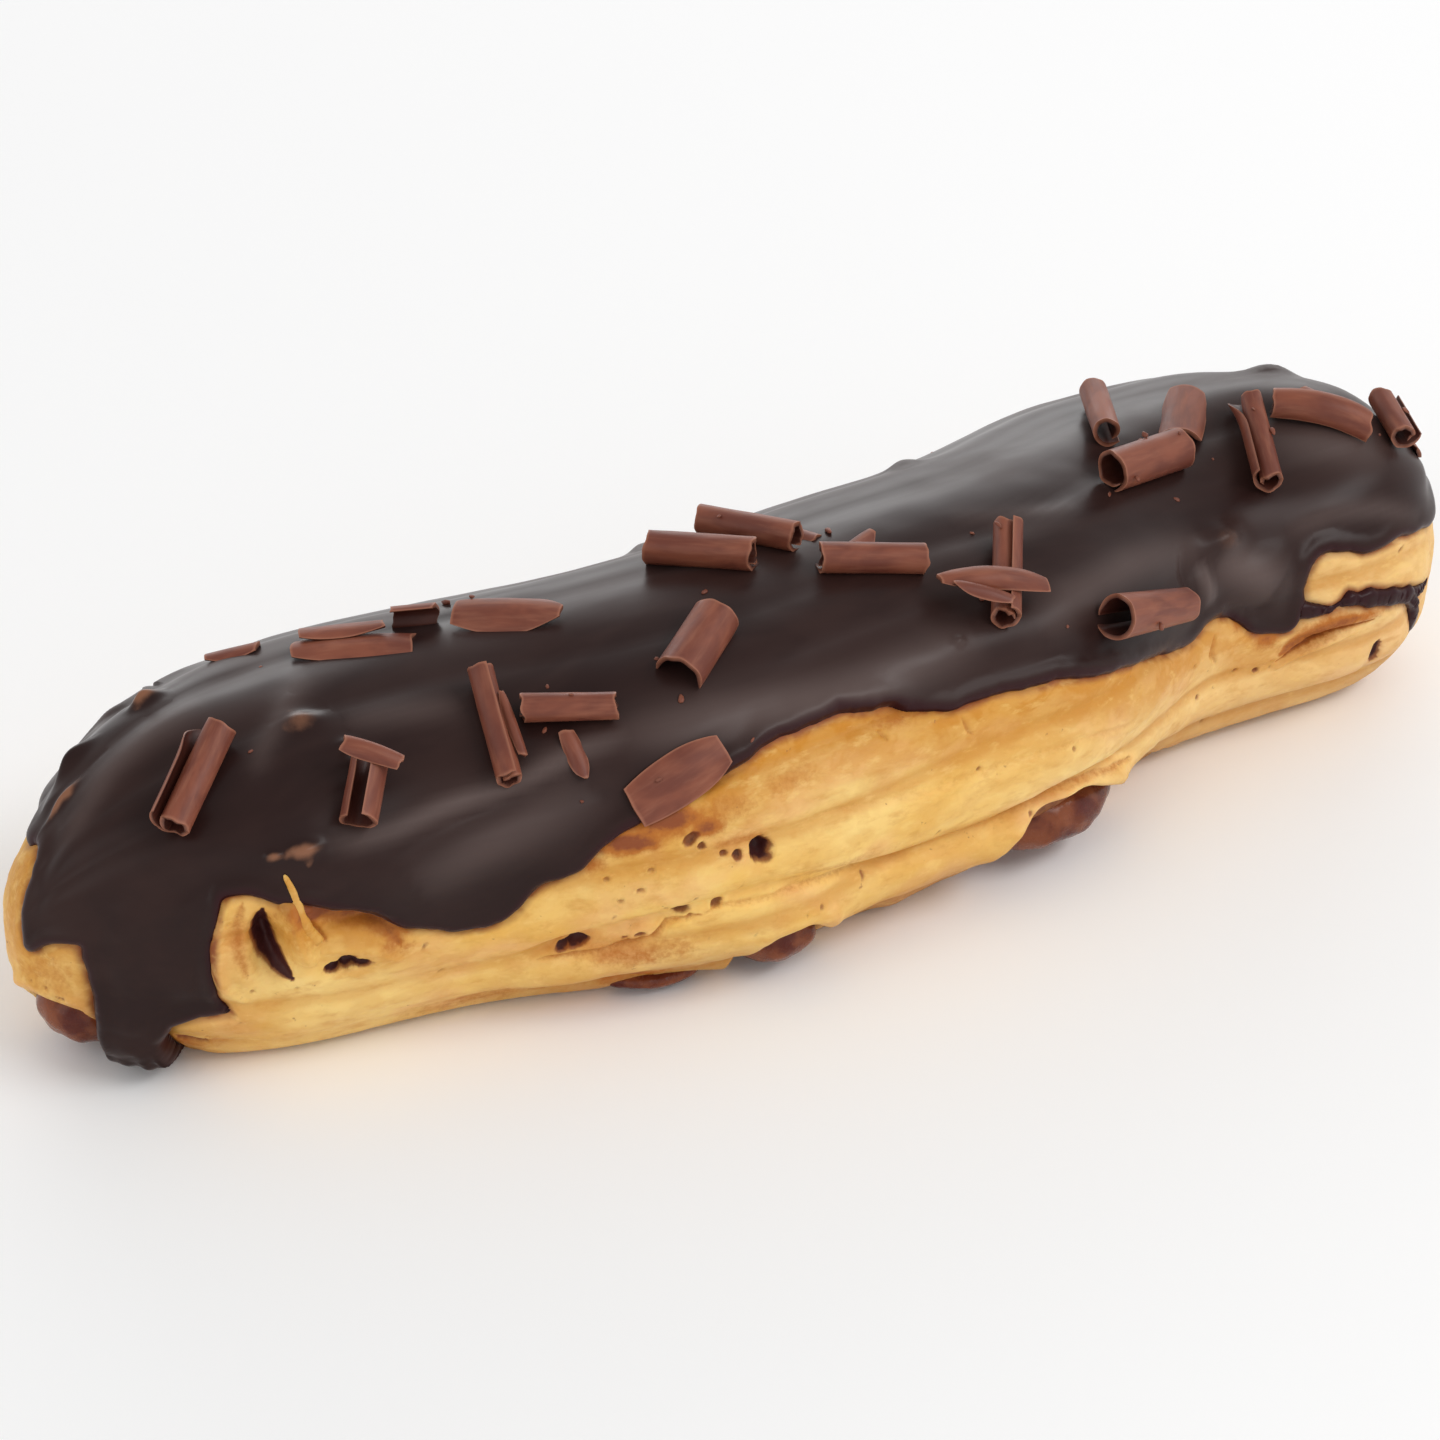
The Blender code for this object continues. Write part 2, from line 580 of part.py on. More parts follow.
def filling_link(spot, grow):
    """A tapered run of filling from the core out to a spot."""
    end = Vector(spot[:3]) * MM
    start_x = float(np.clip(end.x, -LINK_REACH, LINK_REACH))
    start = Vector((start_x, float(body_drift(np.array([start_x]))[0]), CORE_HEIGHT))
    run = end - start
    net = bmesh.new()
    bmesh.ops.create_cone(
        net, cap_ends=True, segments=LINK_SIDES, depth=run.length,
        radius1=LINK_START_RADIUS + grow, radius2=spot[5] * MM * LINK_END_SHARE + grow)
    turn = run.to_track_quat("Z", "Y").to_matrix().to_4x4()
    bmesh.ops.transform(net, matrix=Matrix.Translation((start + end) / 2) @ turn, verts=net.verts)
    return net


def build_filling(name, grow, material):
    """Core, links and spots joined by Boolean unions."""
    parts = []
    nets = [filling_core(grow)]
    for spot in FILLING_SPOTS:
        nets += [filling_link(spot, grow), filling_spot(spot, grow)]
    for number, net in enumerate(nets):
        mesh = bpy.data.meshes.new(f"{name}_part_{number}")
        bmesh.ops.triangulate(net, faces=net.faces)
        net.to_mesh(mesh)
        net.free()
        mesh.materials.append(material)
        mesh.shade_smooth()
        part = bpy.data.objects.new(name if number == 0 else mesh.name, mesh)
        bpy.context.scene.collection.objects.link(part)
        parts.append(part)
    body = parts[0]
    for part in parts[1:]:
        join = body.modifiers.new("join", "BOOLEAN")
        join.operation = "UNION"
        join.object = part
        part.hide_render = True
        part.display_type = "WIRE"
    return body


# Curls

def curl_points(length, radius, turns, start, bow):
    """A rolled strip lying along X, as (points, faces). Its roll starts at angle start from up."""
    turn = np.radians(start) + np.linspace(0, 2 * np.pi * turns, CURL_STEPS + 1)
    inward = CURL_TIGHTENING * np.linspace(0, turns, CURL_STEPS + 1)
    outer = radius - inward
    profile = np.concatenate([
        np.stack([np.sin(turn) * outer, np.cos(turn) * outer], axis=1),
        np.stack([np.sin(turn) * (outer - CURL_WALL), np.cos(turn) * (outer - CURL_WALL)], axis=1)[::-1],
    ])
    steps = len(profile)
    shares = (-0.5, 0.0, 0.5) if bow else (-0.5, 0.5)
    rings = []
    for share in shares:
        ragged = END_RAGGEDNESS * np.sin(RAGGED_WAVES * turn + RAGGED_SHIFT * share + start)
        along = length * share + np.concatenate([ragged, ragged[::-1]]) * share
        lift = bow * MM * (1 - (2 * share) ** 2)
        rings.append(np.stack([along, profile[:, 0], profile[:, 1] + lift], axis=1))
    faces = []
    for ring in range(len(rings) - 1):
        for i in range(steps):
            a = ring * steps + i
            b = ring * steps + (i + 1) % steps
            faces.append((a, a + steps, b + steps, b))
    last = (len(rings) - 1) * steps
    for i in range(CURL_STEPS):
        j = steps - 1 - i
        faces.append((i, i + 1, j - 1, j))
        faces.append((last + i, last + j, last + j - 1, last + i + 1))
    return np.concatenate(rings), faces


def surface_frame(x, turn):
    """Point, +X direction, near-side direction and outward direction of the body's surface."""
    angle = math.radians(turn)
    point = body_surface(np.array([x]), np.array([angle]))[0]
    along = body_surface(np.array([x + SURFACE_STEP]), np.array([angle]))[0] - point
    near = body_surface(np.array([x]), np.array([angle + SURFACE_TURN]))[0] - point
    along /= np.linalg.norm(along)
    outward = np.cross(near, along)
    outward /= np.linalg.norm(outward)
    outward *= np.sign(outward[2]) or 1
    return point, along, np.cross(along, outward), outward


def along_curl(points):
    """The curl's corners, and points between them along its length."""
    steps = 2 * (CURL_STEPS + 1)
    rings = points.reshape(-1, steps, 3)
    shares = np.linspace(0, 1, CURL_SAMPLES)[:, None, None, None]
    return (rings[:-1] * (1 - shares) + rings[1:] * shares).reshape(-1, 3)


def clearance(points, tree):
    """Least distance from the points to a closed skin, negative for a point inside it."""
    least = math.inf
    for point in points:
        spot, outward, _, gap = tree.find_nearest(Vector(point))
        inside = (Vector(point) - spot).dot(outward) < 0
        least = min(least, -gap if inside else gap)
    return least


def build_curl(spec, icing_tree, earlier, material):
    """One curl, set down on the icing and then lifted until it is clear of earlier curls."""
    name, x, turn, heading, length, radius, turns, start, bow = spec
    point, along, near, outward = surface_frame(x * MM, turn)
    angle = math.radians(heading)
    axis = along * math.cos(angle) + near * math.sin(angle)
    frame = np.stack([axis, np.cross(outward, axis), outward])
    local, faces = curl_points(length * MM, radius * MM, turns, start, bow)
    middle = (local.max(axis=0) + local.min(axis=0)) / 2
    lift = local[:, 2].min()
    placed = (local - np.array([0, middle[1], lift])) @ frame + point + outward * CURL_DROP
    for _ in range(CURL_DROP_STEPS):
        placed = placed - outward * (clearance(along_curl(placed), icing_tree) - PIECE_GAP)
    near_ones = [o for o in earlier if np.linalg.norm(o[0].mean(0) - placed.mean(0)) < CURL_NEIGHBOURS]
    for _ in range(CURL_LIFT_LIMIT):
        tree = BVHTree.FromPolygons(placed.tolist(), faces)
        if all(not tree.overlap(other[1]) and clearance_apart(placed, other) for other in near_ones):
            break
        placed = placed + outward * CURL_LIFT_STEP
    earlier.append((placed, BVHTree.FromPolygons(placed.tolist(), faces)))
    return make_object(name, placed, faces, material)


def clearance_apart(points, other):
    return min(other[1].find_nearest(Vector(p))[3] for p in along_curl(points)) >= PIECE_GAP


# The whole eclair

def centre_over_origin(items):
    """Slide every mesh so that the whole box is centred on the origin in plan."""
    bpy.context.view_layer.update()
    corners = [Vector(corner) for item in items for corner in item.bound_box]
    low = [min(c[axis] for c in corners) for axis in range(2)]
    high = [max(c[axis] for c in corners) for axis in range(2)]
    for item in bpy.data.objects:
        for vert in item.data.vertices:
            vert.co.x -= (low[0] + high[0]) / 2
            vert.co.y -= (low[1] + high[1]) / 2


def main():
    clear_scene()
    choux_material = make_material("choux", CHOUX_COLOUR, CHOUX_ROUGHNESS)
    icing_material = make_material("icing", ICING_COLOUR, ICING_ROUGHNESS)
    filling_material = make_material("filling", FILLING_COLOUR, FILLING_ROUGHNESS)
    curl_material = make_material("curl", CURL_COLOUR, CURL_ROUGHNESS)

    grid = Grid()
    filling = build_filling("filling", 0.0, filling_material)
    room = build_filling("filling_room", PIECE_GAP, filling_material)
    room.hide_render = True
    room.display_type = "WIRE"
    choux = build_choux(grid, choux_material, room)
    icing = build_icing(grid, choux_surface(grid), icing_material)
    icing_tree = BVHTree.FromPolygons(
        [v.co for v in icing.data.vertices], [p.vertices for p in icing.data.polygons])
    earlier = []
    curls = [build_curl(spec, icing_tree, earlier, curl_material) for spec in CURLS]
    centre_over_origin([choux, icing, filling] + curls)


main()
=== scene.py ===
# Looks of a hazelnut chocolate eclair: the baked choux, the chocolate poured over it, the curls that
# lie on top and the filling that shows at the foot, on a pale floor in soft light.
# It lies along X on the plane Z = 0, and -Y is the near side. Tables headed mm are multiplied by mm
# where they are read. "turn" is the angle round the eclair, from the top towards the near side, and
# "place round the side" is X on the near side, and runs on round both ends to the far side.

import math
import random

import bmesh
import bpy
import numpy as np
from mathutils import Matrix, Vector, noise
from mathutils.bvhtree import BVHTree


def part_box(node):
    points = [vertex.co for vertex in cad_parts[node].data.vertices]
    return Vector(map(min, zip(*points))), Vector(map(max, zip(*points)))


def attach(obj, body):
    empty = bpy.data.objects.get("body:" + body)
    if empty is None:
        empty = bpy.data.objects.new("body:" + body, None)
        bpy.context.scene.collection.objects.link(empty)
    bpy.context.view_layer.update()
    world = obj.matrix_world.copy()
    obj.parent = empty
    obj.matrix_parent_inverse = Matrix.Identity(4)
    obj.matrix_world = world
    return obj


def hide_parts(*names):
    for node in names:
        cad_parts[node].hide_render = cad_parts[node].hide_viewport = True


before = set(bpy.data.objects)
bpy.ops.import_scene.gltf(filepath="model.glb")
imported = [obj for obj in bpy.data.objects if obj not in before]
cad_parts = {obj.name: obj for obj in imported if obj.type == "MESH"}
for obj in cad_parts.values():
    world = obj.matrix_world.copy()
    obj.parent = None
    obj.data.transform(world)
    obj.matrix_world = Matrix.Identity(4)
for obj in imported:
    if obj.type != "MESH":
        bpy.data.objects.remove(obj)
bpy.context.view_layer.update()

mm = 0.001
fineness = 1


# Curves, blends and noise

def smoothThrough(table, at):
    # height at each place of a natural cubic curve through the table's (place, height) rows in mm
    knots, heights = np.array(table).T * mm
    gaps = np.diff(knots)
    slopes = np.diff(heights) / gaps
    matrix = np.eye(len(knots))
    bends = np.zeros(len(knots))
    for i in range(1, len(knots) - 1):
        matrix[i, i - 1:i + 2] = gaps[i - 1], 2 * (gaps[i - 1] + gaps[i]), gaps[i]
        bends[i] = 6 * (slopes[i] - slopes[i - 1])
    bends = np.linalg.solve(matrix, bends)
    i = np.clip(np.searchsorted(knots, at) - 1, 0, len(gaps) - 1)
    before = (knots[i + 1] - at) / gaps[i]
    after = 1 - before
    curve = (before ** 3 - before) * bends[i] + (after ** 3 - after) * bends[i + 1]
    return before * heights[i] + after * heights[i + 1] + curve * gaps[i] ** 2 / 6


def ease(value):
    value = np.clip(value, 0, 1)
    return value * value * (3 - 2 * value)


def within(value, edge, width):
    # 0 from the edge on, and 1 where the value is less than it by the width
    return ease((edge - value) / width)


def softFloor(z, rounding):
    rounded = (z + rounding) ** 2 / (4 * rounding)
    return np.where(z < -rounding, 0, np.where(z > rounding, z, rounded))


def softUnion(a, b, softness):
    return np.maximum(a, b) + np.maximum(softness - np.abs(a - b), 0) ** 2 / (4 * softness)


def waves(points, rows):
    # gentle noise, added up over rows of a height, a size in mm, a stretch along X and a shift
    total = 0
    for height, size, stretch, start in rows:
        spots = (points * (1 / stretch, 1, 1) / (size * mm) + start).reshape(-1, 3).tolist()
        total = total + height * np.array([noise.noise(spot) for spot in spots]).reshape(points.shape[:-1])
    return total


def oval(across, up, at, level, halfLength, halfHeight):
    # 0 in the middle of an oval spot, 1 on its outline
    return ((across - at) / halfLength) ** 2 + ((up - level) / halfHeight) ** 2


def tableAt(table, places):
    # values of a table of (place in mm, value) rows
    return np.interp(places / mm, *np.array(table).T)


def unit(vectors):
    return vectors / np.maximum(np.linalg.norm(vectors, axis=-1, keepdims=True), 1e-9)


# The body's outer surface, which choux and icing share

body = {
    "length": 150 * mm,
    "leftCap": 23.8 * mm,
    "rightCap": 20.2 * mm,
    "capPower": 2.2,
    "sectionPower": 2.3,
    "widestShare": 0.44,
    "undercut": 1.25,
    "baseRounding": 1.2 * mm,
    "middleHeight": 13 * mm,
    # mm: place along the eclair, sideways drift of its middle, half width, height
    "stations": (
        (-64, 2.8, 13.8, 27.9), (-50, 3, 18.2, 28.9), (-36, 1.4, 19.4, 29.6), (-20, -3.4, 20.3, 30.7),
        (-5, -4.8, 20.1, 31), (10, -4, 20, 31), (25, -2.9, 19.5, 30.4), (40, 2.6, 18.2, 28.9),
        (52, 3.5, 18.4, 28.1), (64, 1.8, 18.9, 29.6),
    ),
    # centres and radius of the two ends, for places round the side
    "leftCentre": -54 * mm,
    "rightCentre": 55 * mm,
    "endRadius": 19 * mm,
}


def bodyShape(column, x):
    # 1: sideways drift, 2: half width, 3: height
    return smoothThrough([(row[0], row[column]) for row in body["stations"]], x)


def bodySurface(x, turn):
    drift, halfWidth, height = (bodyShape(column, x) for column in (1, 2, 3))
    half, power = body["length"] / 2, body["capPower"]
    fromLeft = np.clip((x + half) / body["leftCap"], 0, 1)
    fromRight = np.clip((half - x) / body["rightCap"], 0, 1)
    taper = (1 - (1 - fromLeft) ** power) ** (1 / power)
    taper = taper * (1 - (1 - fromRight) ** power) ** (1 / power)
    across = np.sign(np.sin(turn)) * np.abs(np.sin(turn)) ** (2 / body["sectionPower"])
    up = np.abs(np.cos(turn)) ** (2 / body["sectionPower"])
    widest = body["widestShare"] * height
    over = widest + (height - widest) * taper * up
    under = widest - body["undercut"] * widest * taper * up
    z = softFloor(np.where(np.cos(turn) >= 0, over, under), body["baseRounding"])
    return np.stack([x, drift - halfWidth * taper * across, z], axis=-1)


def ringPlaces(spacing):
    # places along the eclair that are evenly spaced along its side
    fine = -np.cos(np.linspace(0, np.pi, 4001)) * body["length"] / 2
    side = bodySurface(fine, np.full_like(fine, np.pi / 2))
    walked = np.concatenate([[0], np.cumsum(np.linalg.norm(np.diff(side, axis=0), axis=1))])
    count = int(walked[-1] / spacing)
    return np.interp(np.linspace(0, walked[-1], count + 1)[1:-1], walked, fine)


def tubeFaces(rows, loop):
    # four-sided faces between rings of points, each ring closed on itself
    i, j = np.meshgrid(np.arange(rows) * loop, np.arange(loop), indexing="ij")
    k = (j + 1) % loop
    return np.stack([i + j, i + loop + j, i + loop + k, i + k], axis=-1).reshape(-1, 4)


def bodyNet(places, turns):
    # closed net of rings with one point at each tip: its points, their turns, and triangles
    x, turn = np.meshgrid(places, turns, indexing="ij")
    half, steps = body["length"] / 2, len(turns)
    tips = [bodySurface(np.array([end]), np.array([0.0])) for end in (-half, half)]
    points = np.concatenate([tips[0], bodySurface(x, turn).reshape(-1, 3), tips[1]])
    first = 1 + np.arange(steps)
    second = np.roll(first, -1)
    last, lastRing = np.full(steps, len(points) - 1), (len(places) - 1) * steps
    caps = [np.stack([0 * first, second, first], 1), np.stack([last, lastRing + first, lastRing + second], 1)]
    sides = 1 + tubeFaces(len(places) - 1, steps)
    triangles = np.concatenate(caps + [sides[:, [0, 3, 2]], sides[:, [0, 2, 1]]])
    return points, np.concatenate([[0], turn.ravel(), [0]]), triangles


def meshArrays(net):
    # a bmesh's points and faces
    net.verts.index_update()
    return np.array([v.co[:] for v in net.verts]), np.array([[v.index for v in f.verts] for f in net.faces])


def triangleNormals(points, triangles):
    corners = points[triangles]
    return np.cross(corners[:, 1] - corners[:, 0], corners[:, 2] - corners[:, 0])


def netNormals(points, triangles):
    faces = triangleNormals(points, triangles)
    sums = np.zeros_like(points)
    for corner in range(3):
        np.add.at(sums, triangles[:, corner], faces)
    return unit(sums * 1e6)


def tubeNet(cell, angles, nearby, cuts, kept=None):
    # the body's net as a tube in a bmesh, where X is the ring and the angle round X is the turn, cut
    # finer at the points that nearby picks; returned as points, turns and triangles
    half = body["length"] / 2
    places = np.concatenate([[-half], ringPlaces(cell), [half]])
    net = bmesh.new()
    rows = [[net.verts.new((ring, math.cos(a), math.sin(a))) for a in angles] for ring in range(len(places))]
    for near, far in zip(rows, rows[1:]):
        for j in range(len(angles)):
            net.faces.new((near[j - 1], near[j], far[j], far[j - 1]))

    def read():
        spots, faces = meshArrays(net)
        turn = np.arctan2(spots[:, 2], spots[:, 1])
        return spots, turn, bodySurface(np.interp(spots[:, 0], np.arange(len(places)), places), turn), faces

    points = read()[2]
    close = nearby(points)
    wanted = kept(points) if kept else np.ones(len(points), bool)
    unwanted = [f for f in net.faces if not any(wanted[v.index] for v in f.verts)]
    fine = [e for e in net.edges if any(close[v.index] for v in e.verts)]
    bmesh.ops.subdivide_edges(net, edges=fine, cuts=cuts, use_grid_fill=True)
    bmesh.ops.delete(net, geom=[f for f in unwanted if f.is_valid], context="FACES")
    bmesh.ops.triangulate(net, faces=net.faces)
    spots, turn, points, triangles = read()
    net.free()
    # the points of each end row are one point
    number = np.arange(len(points))
    for row in (0, len(places) - 1):
        tip = np.flatnonzero(np.abs(spots[:, 0] - row) < 1e-6)
        number[tip] = tip[:1]
    triangles = number[triangles]
    triangles = triangles[(triangles != np.roll(triangles, 1, axis=1)).all(axis=1)]
    fromMiddle = points[triangles].mean(axis=1) - np.array([0, 0, body["middleHeight"]])
    if (triangleNormals(points, triangles) * fromMiddle).sum() < 0:
        triangles = triangles[:, ::-1]
    used = np.unique(triangles)
    number[used] = np.arange(len(used))
    return points[used], turn[used], number[triangles]


def sidePlace(points):
    x, y = points[..., 0], points[..., 1]
    farStart = body["rightCentre"] + np.pi * body["endRadius"]
    place = np.where(y < bodyShape(1, x), x, farStart + body["rightCentre"] - x)
    for centre, side in ((body["leftCentre"], -1), (body["rightCentre"], 1)):
        angle = np.arctan2(side * (x - centre), bodyShape(1, np.array([centre]))[0] - y)
        place = np.where(side * (x - centre) > 0, centre + side * body["endRadius"] * angle, place)
    return place


# Where the icing lies, as distances on the chart of place round the side and height

icingOutline = {
    # mm: place round the side, height of the lower edge
    "edge": (
        (-112, 24.6), (-107, 24.2), (-100, 20.8), (-95, 20), (-90, 20.6), (-87.4, 19.4), (-85, 20.8),
        (-83, 20), (-82.3, 18), (-82.9, 15.4), (-83.4, 13.6), (-82.4, 12.5), (-80.8, 12.7), (-79.2, 14.2),
        (-77, 14.4), (-70, 16), (-63.5, 19.2), (-60, 19.4), (-57.7, 18.5), (-54.5, 18.1), (-51, 16.9),
        (-48.5, 16), (-46, 14.2), (-42, 12.9), (-38.4, 12.6), (-36.4, 13.5), (-33.9, 15.6), (-30.5, 16.6),
        (-28.5, 18.8), (-24, 21.2), (-19.4, 22.6), (-12, 24.7), (-4, 25.2), (1, 24.3), (6, 22.5), (12, 22.4),
        (20, 21.5), (27, 19.7), (35, 17.1), (38.6, 16), (40.8, 16.8), (43, 16.9), (44.9, 16), (46.2, 13.8),
        (48.6, 13.2), (50.8, 12.9), (52.4, 13.8), (53.2, 16.2), (53.2, 18.3), (54.2, 19.6), (56.8, 19.8),
        (59.6, 19), (61.2, 18.9), (63.8, 19.5), (66.2, 18.7), (69, 17.8), (73, 18.2), (78, 18.8), (84, 18.2),
        (90, 15.6), (96, 13.2), (101, 13.6), (105, 16.2), (114, 17.2), (124, 15.4), (133, 11.4), (141, 10.8),
        (149, 14.2), (160, 18.6), (172, 19.6), (181, 16.4), (188, 12.6), (195, 13), (203, 18), (212, 22.2),
        (225.4, 25),
    ),
    # mm: outline of the tongue down the left end, place round the side and height
    "tongue": (
        (-77.2, 16), (-76.4, 11.6), (-76, 7.7), (-76.9, 4.6), (-77.6, -1.5), (-70.2, -1.5), (-70, 4),
        (-68.9, 5.7), (-65.9, 6.9), (-62.5, 7.3), (-63.8, 9.8), (-64, 13.5), (-63.2, 18), (-62, 22),
        (-76.8, 22),
    ),
    # mm: threads and drips, each from one point to another with a radius at each end
    "threads": (
        (52.4, 14.9, 55.3, 14.3, 0.8, 0.3), (55.3, 14.3, 57.6, 14.9, 0.3, 0.8),
        (57.6, 14.9, 59.6, 14.5, 0.8, 1), (59.6, 14.5, 62.2, 13.7, 1, 0.7),
        (62.2, 13.7, 64.4, 12.9, 0.7, 0.9), (64.4, 12.9, 66.4, 10.6, 0.9, 0.7),
        (66.4, 10.6, 67.6, 6, 0.7, 0.45), (65.6, 12.4, 69.6, 11.5, 0.6, 0.35),
    ),
    "edgeStep": 0.5 * mm,
    "edgeSoftness": 0.6 * mm,
    "edgeWindow": 9 * mm,
    "joinSoftness": 1 * mm,
    "lowest": 0.2 * mm,
    "wander": ((0.3, 3.2, 1, 40), (0.14, 1.4, 1, 40), (0.03, 0.6, 1, 40)),     # mm, as rows of waves
}


def segmentDistance(place, height, x0, z0, x1, z1):
    # distance to a straight line, and how far along it the nearest point is
    dx, dz = x1 - x0, z1 - z0
    share = np.clip(((place - x0) * dx + (height - z0) * dz) / (dx * dx + dz * dz), 0, 1)
    return np.hypot(place - x0 - share * dx, height - z0 - share * dz), share


def edgeReach(place, height):
    knots, levels = np.array(icingOutline["edge"]).T * mm
    step, soft = icingOutline["edgeStep"], icingOutline["edgeSoftness"]
    places = np.arange(knots[0], knots[-1], step)
    reach = int(3 * soft / step)
    weights = np.exp(-0.5 * (np.arange(-reach, reach + 1) * step / soft) ** 2)
    padded = np.pad(np.interp(places, knots, levels), reach, mode="edge")
    heights = np.convolve(padded, weights / weights.sum(), "valid")
    middle = np.rint((place - places[0]) / step).astype(int)
    window = int(icingOutline["edgeWindow"] / step)
    nearest = np.full(place.shape, np.inf)
    for offset in range(-window, window + 1):
        i = np.clip(middle + offset, 0, len(places) - 2)
        gap, _ = segmentDistance(place, height, places[i], heights[i], places[i + 1], heights[i + 1])
        nearest = np.minimum(nearest, gap)
    return np.where(height > np.interp(place, places, heights), nearest, -nearest)


def tongueReach(place, height):
    corners = np.array(icingOutline["tongue"]) * mm
    nearest = np.full(place.shape, np.inf)
    inside = np.zeros(place.shape, bool)
    for start, end in zip(corners, np.roll(corners, -1, axis=0)):
        gap, _ = segmentDistance(place, height, *start, *end)
        nearest = np.minimum(nearest, gap)
        spans = (start[1] > height) != (end[1] > height)
        rise = end[1] - start[1] if end[1] != start[1] else mm
        inside ^= spans & (place < start[0] + (height - start[1]) * (end[0] - start[0]) / rise)
    return np.where(inside, nearest, -nearest)


def icingReach(points):
    # distance inside the iced area along the surface, negative on bare choux
    place, height, soft = sidePlace(points), points[..., 2], icingOutline["joinSoftness"]
    reach = softUnion(edgeReach(place, height), tongueReach(place, height), soft)
    for x0, z0, x1, z1, r0, r1 in np.array(icingOutline["threads"]) * mm:
        gap, share = segmentDistance(place, height, x0, z0, x1, z1)
        reach = softUnion(reach, r0 + (r1 - r0) * share - gap, soft / 2)
    reach = reach + mm * waves(points, icingOutline["wander"])
    return np.minimum(reach, height - icingOutline["lowest"])


# Choux

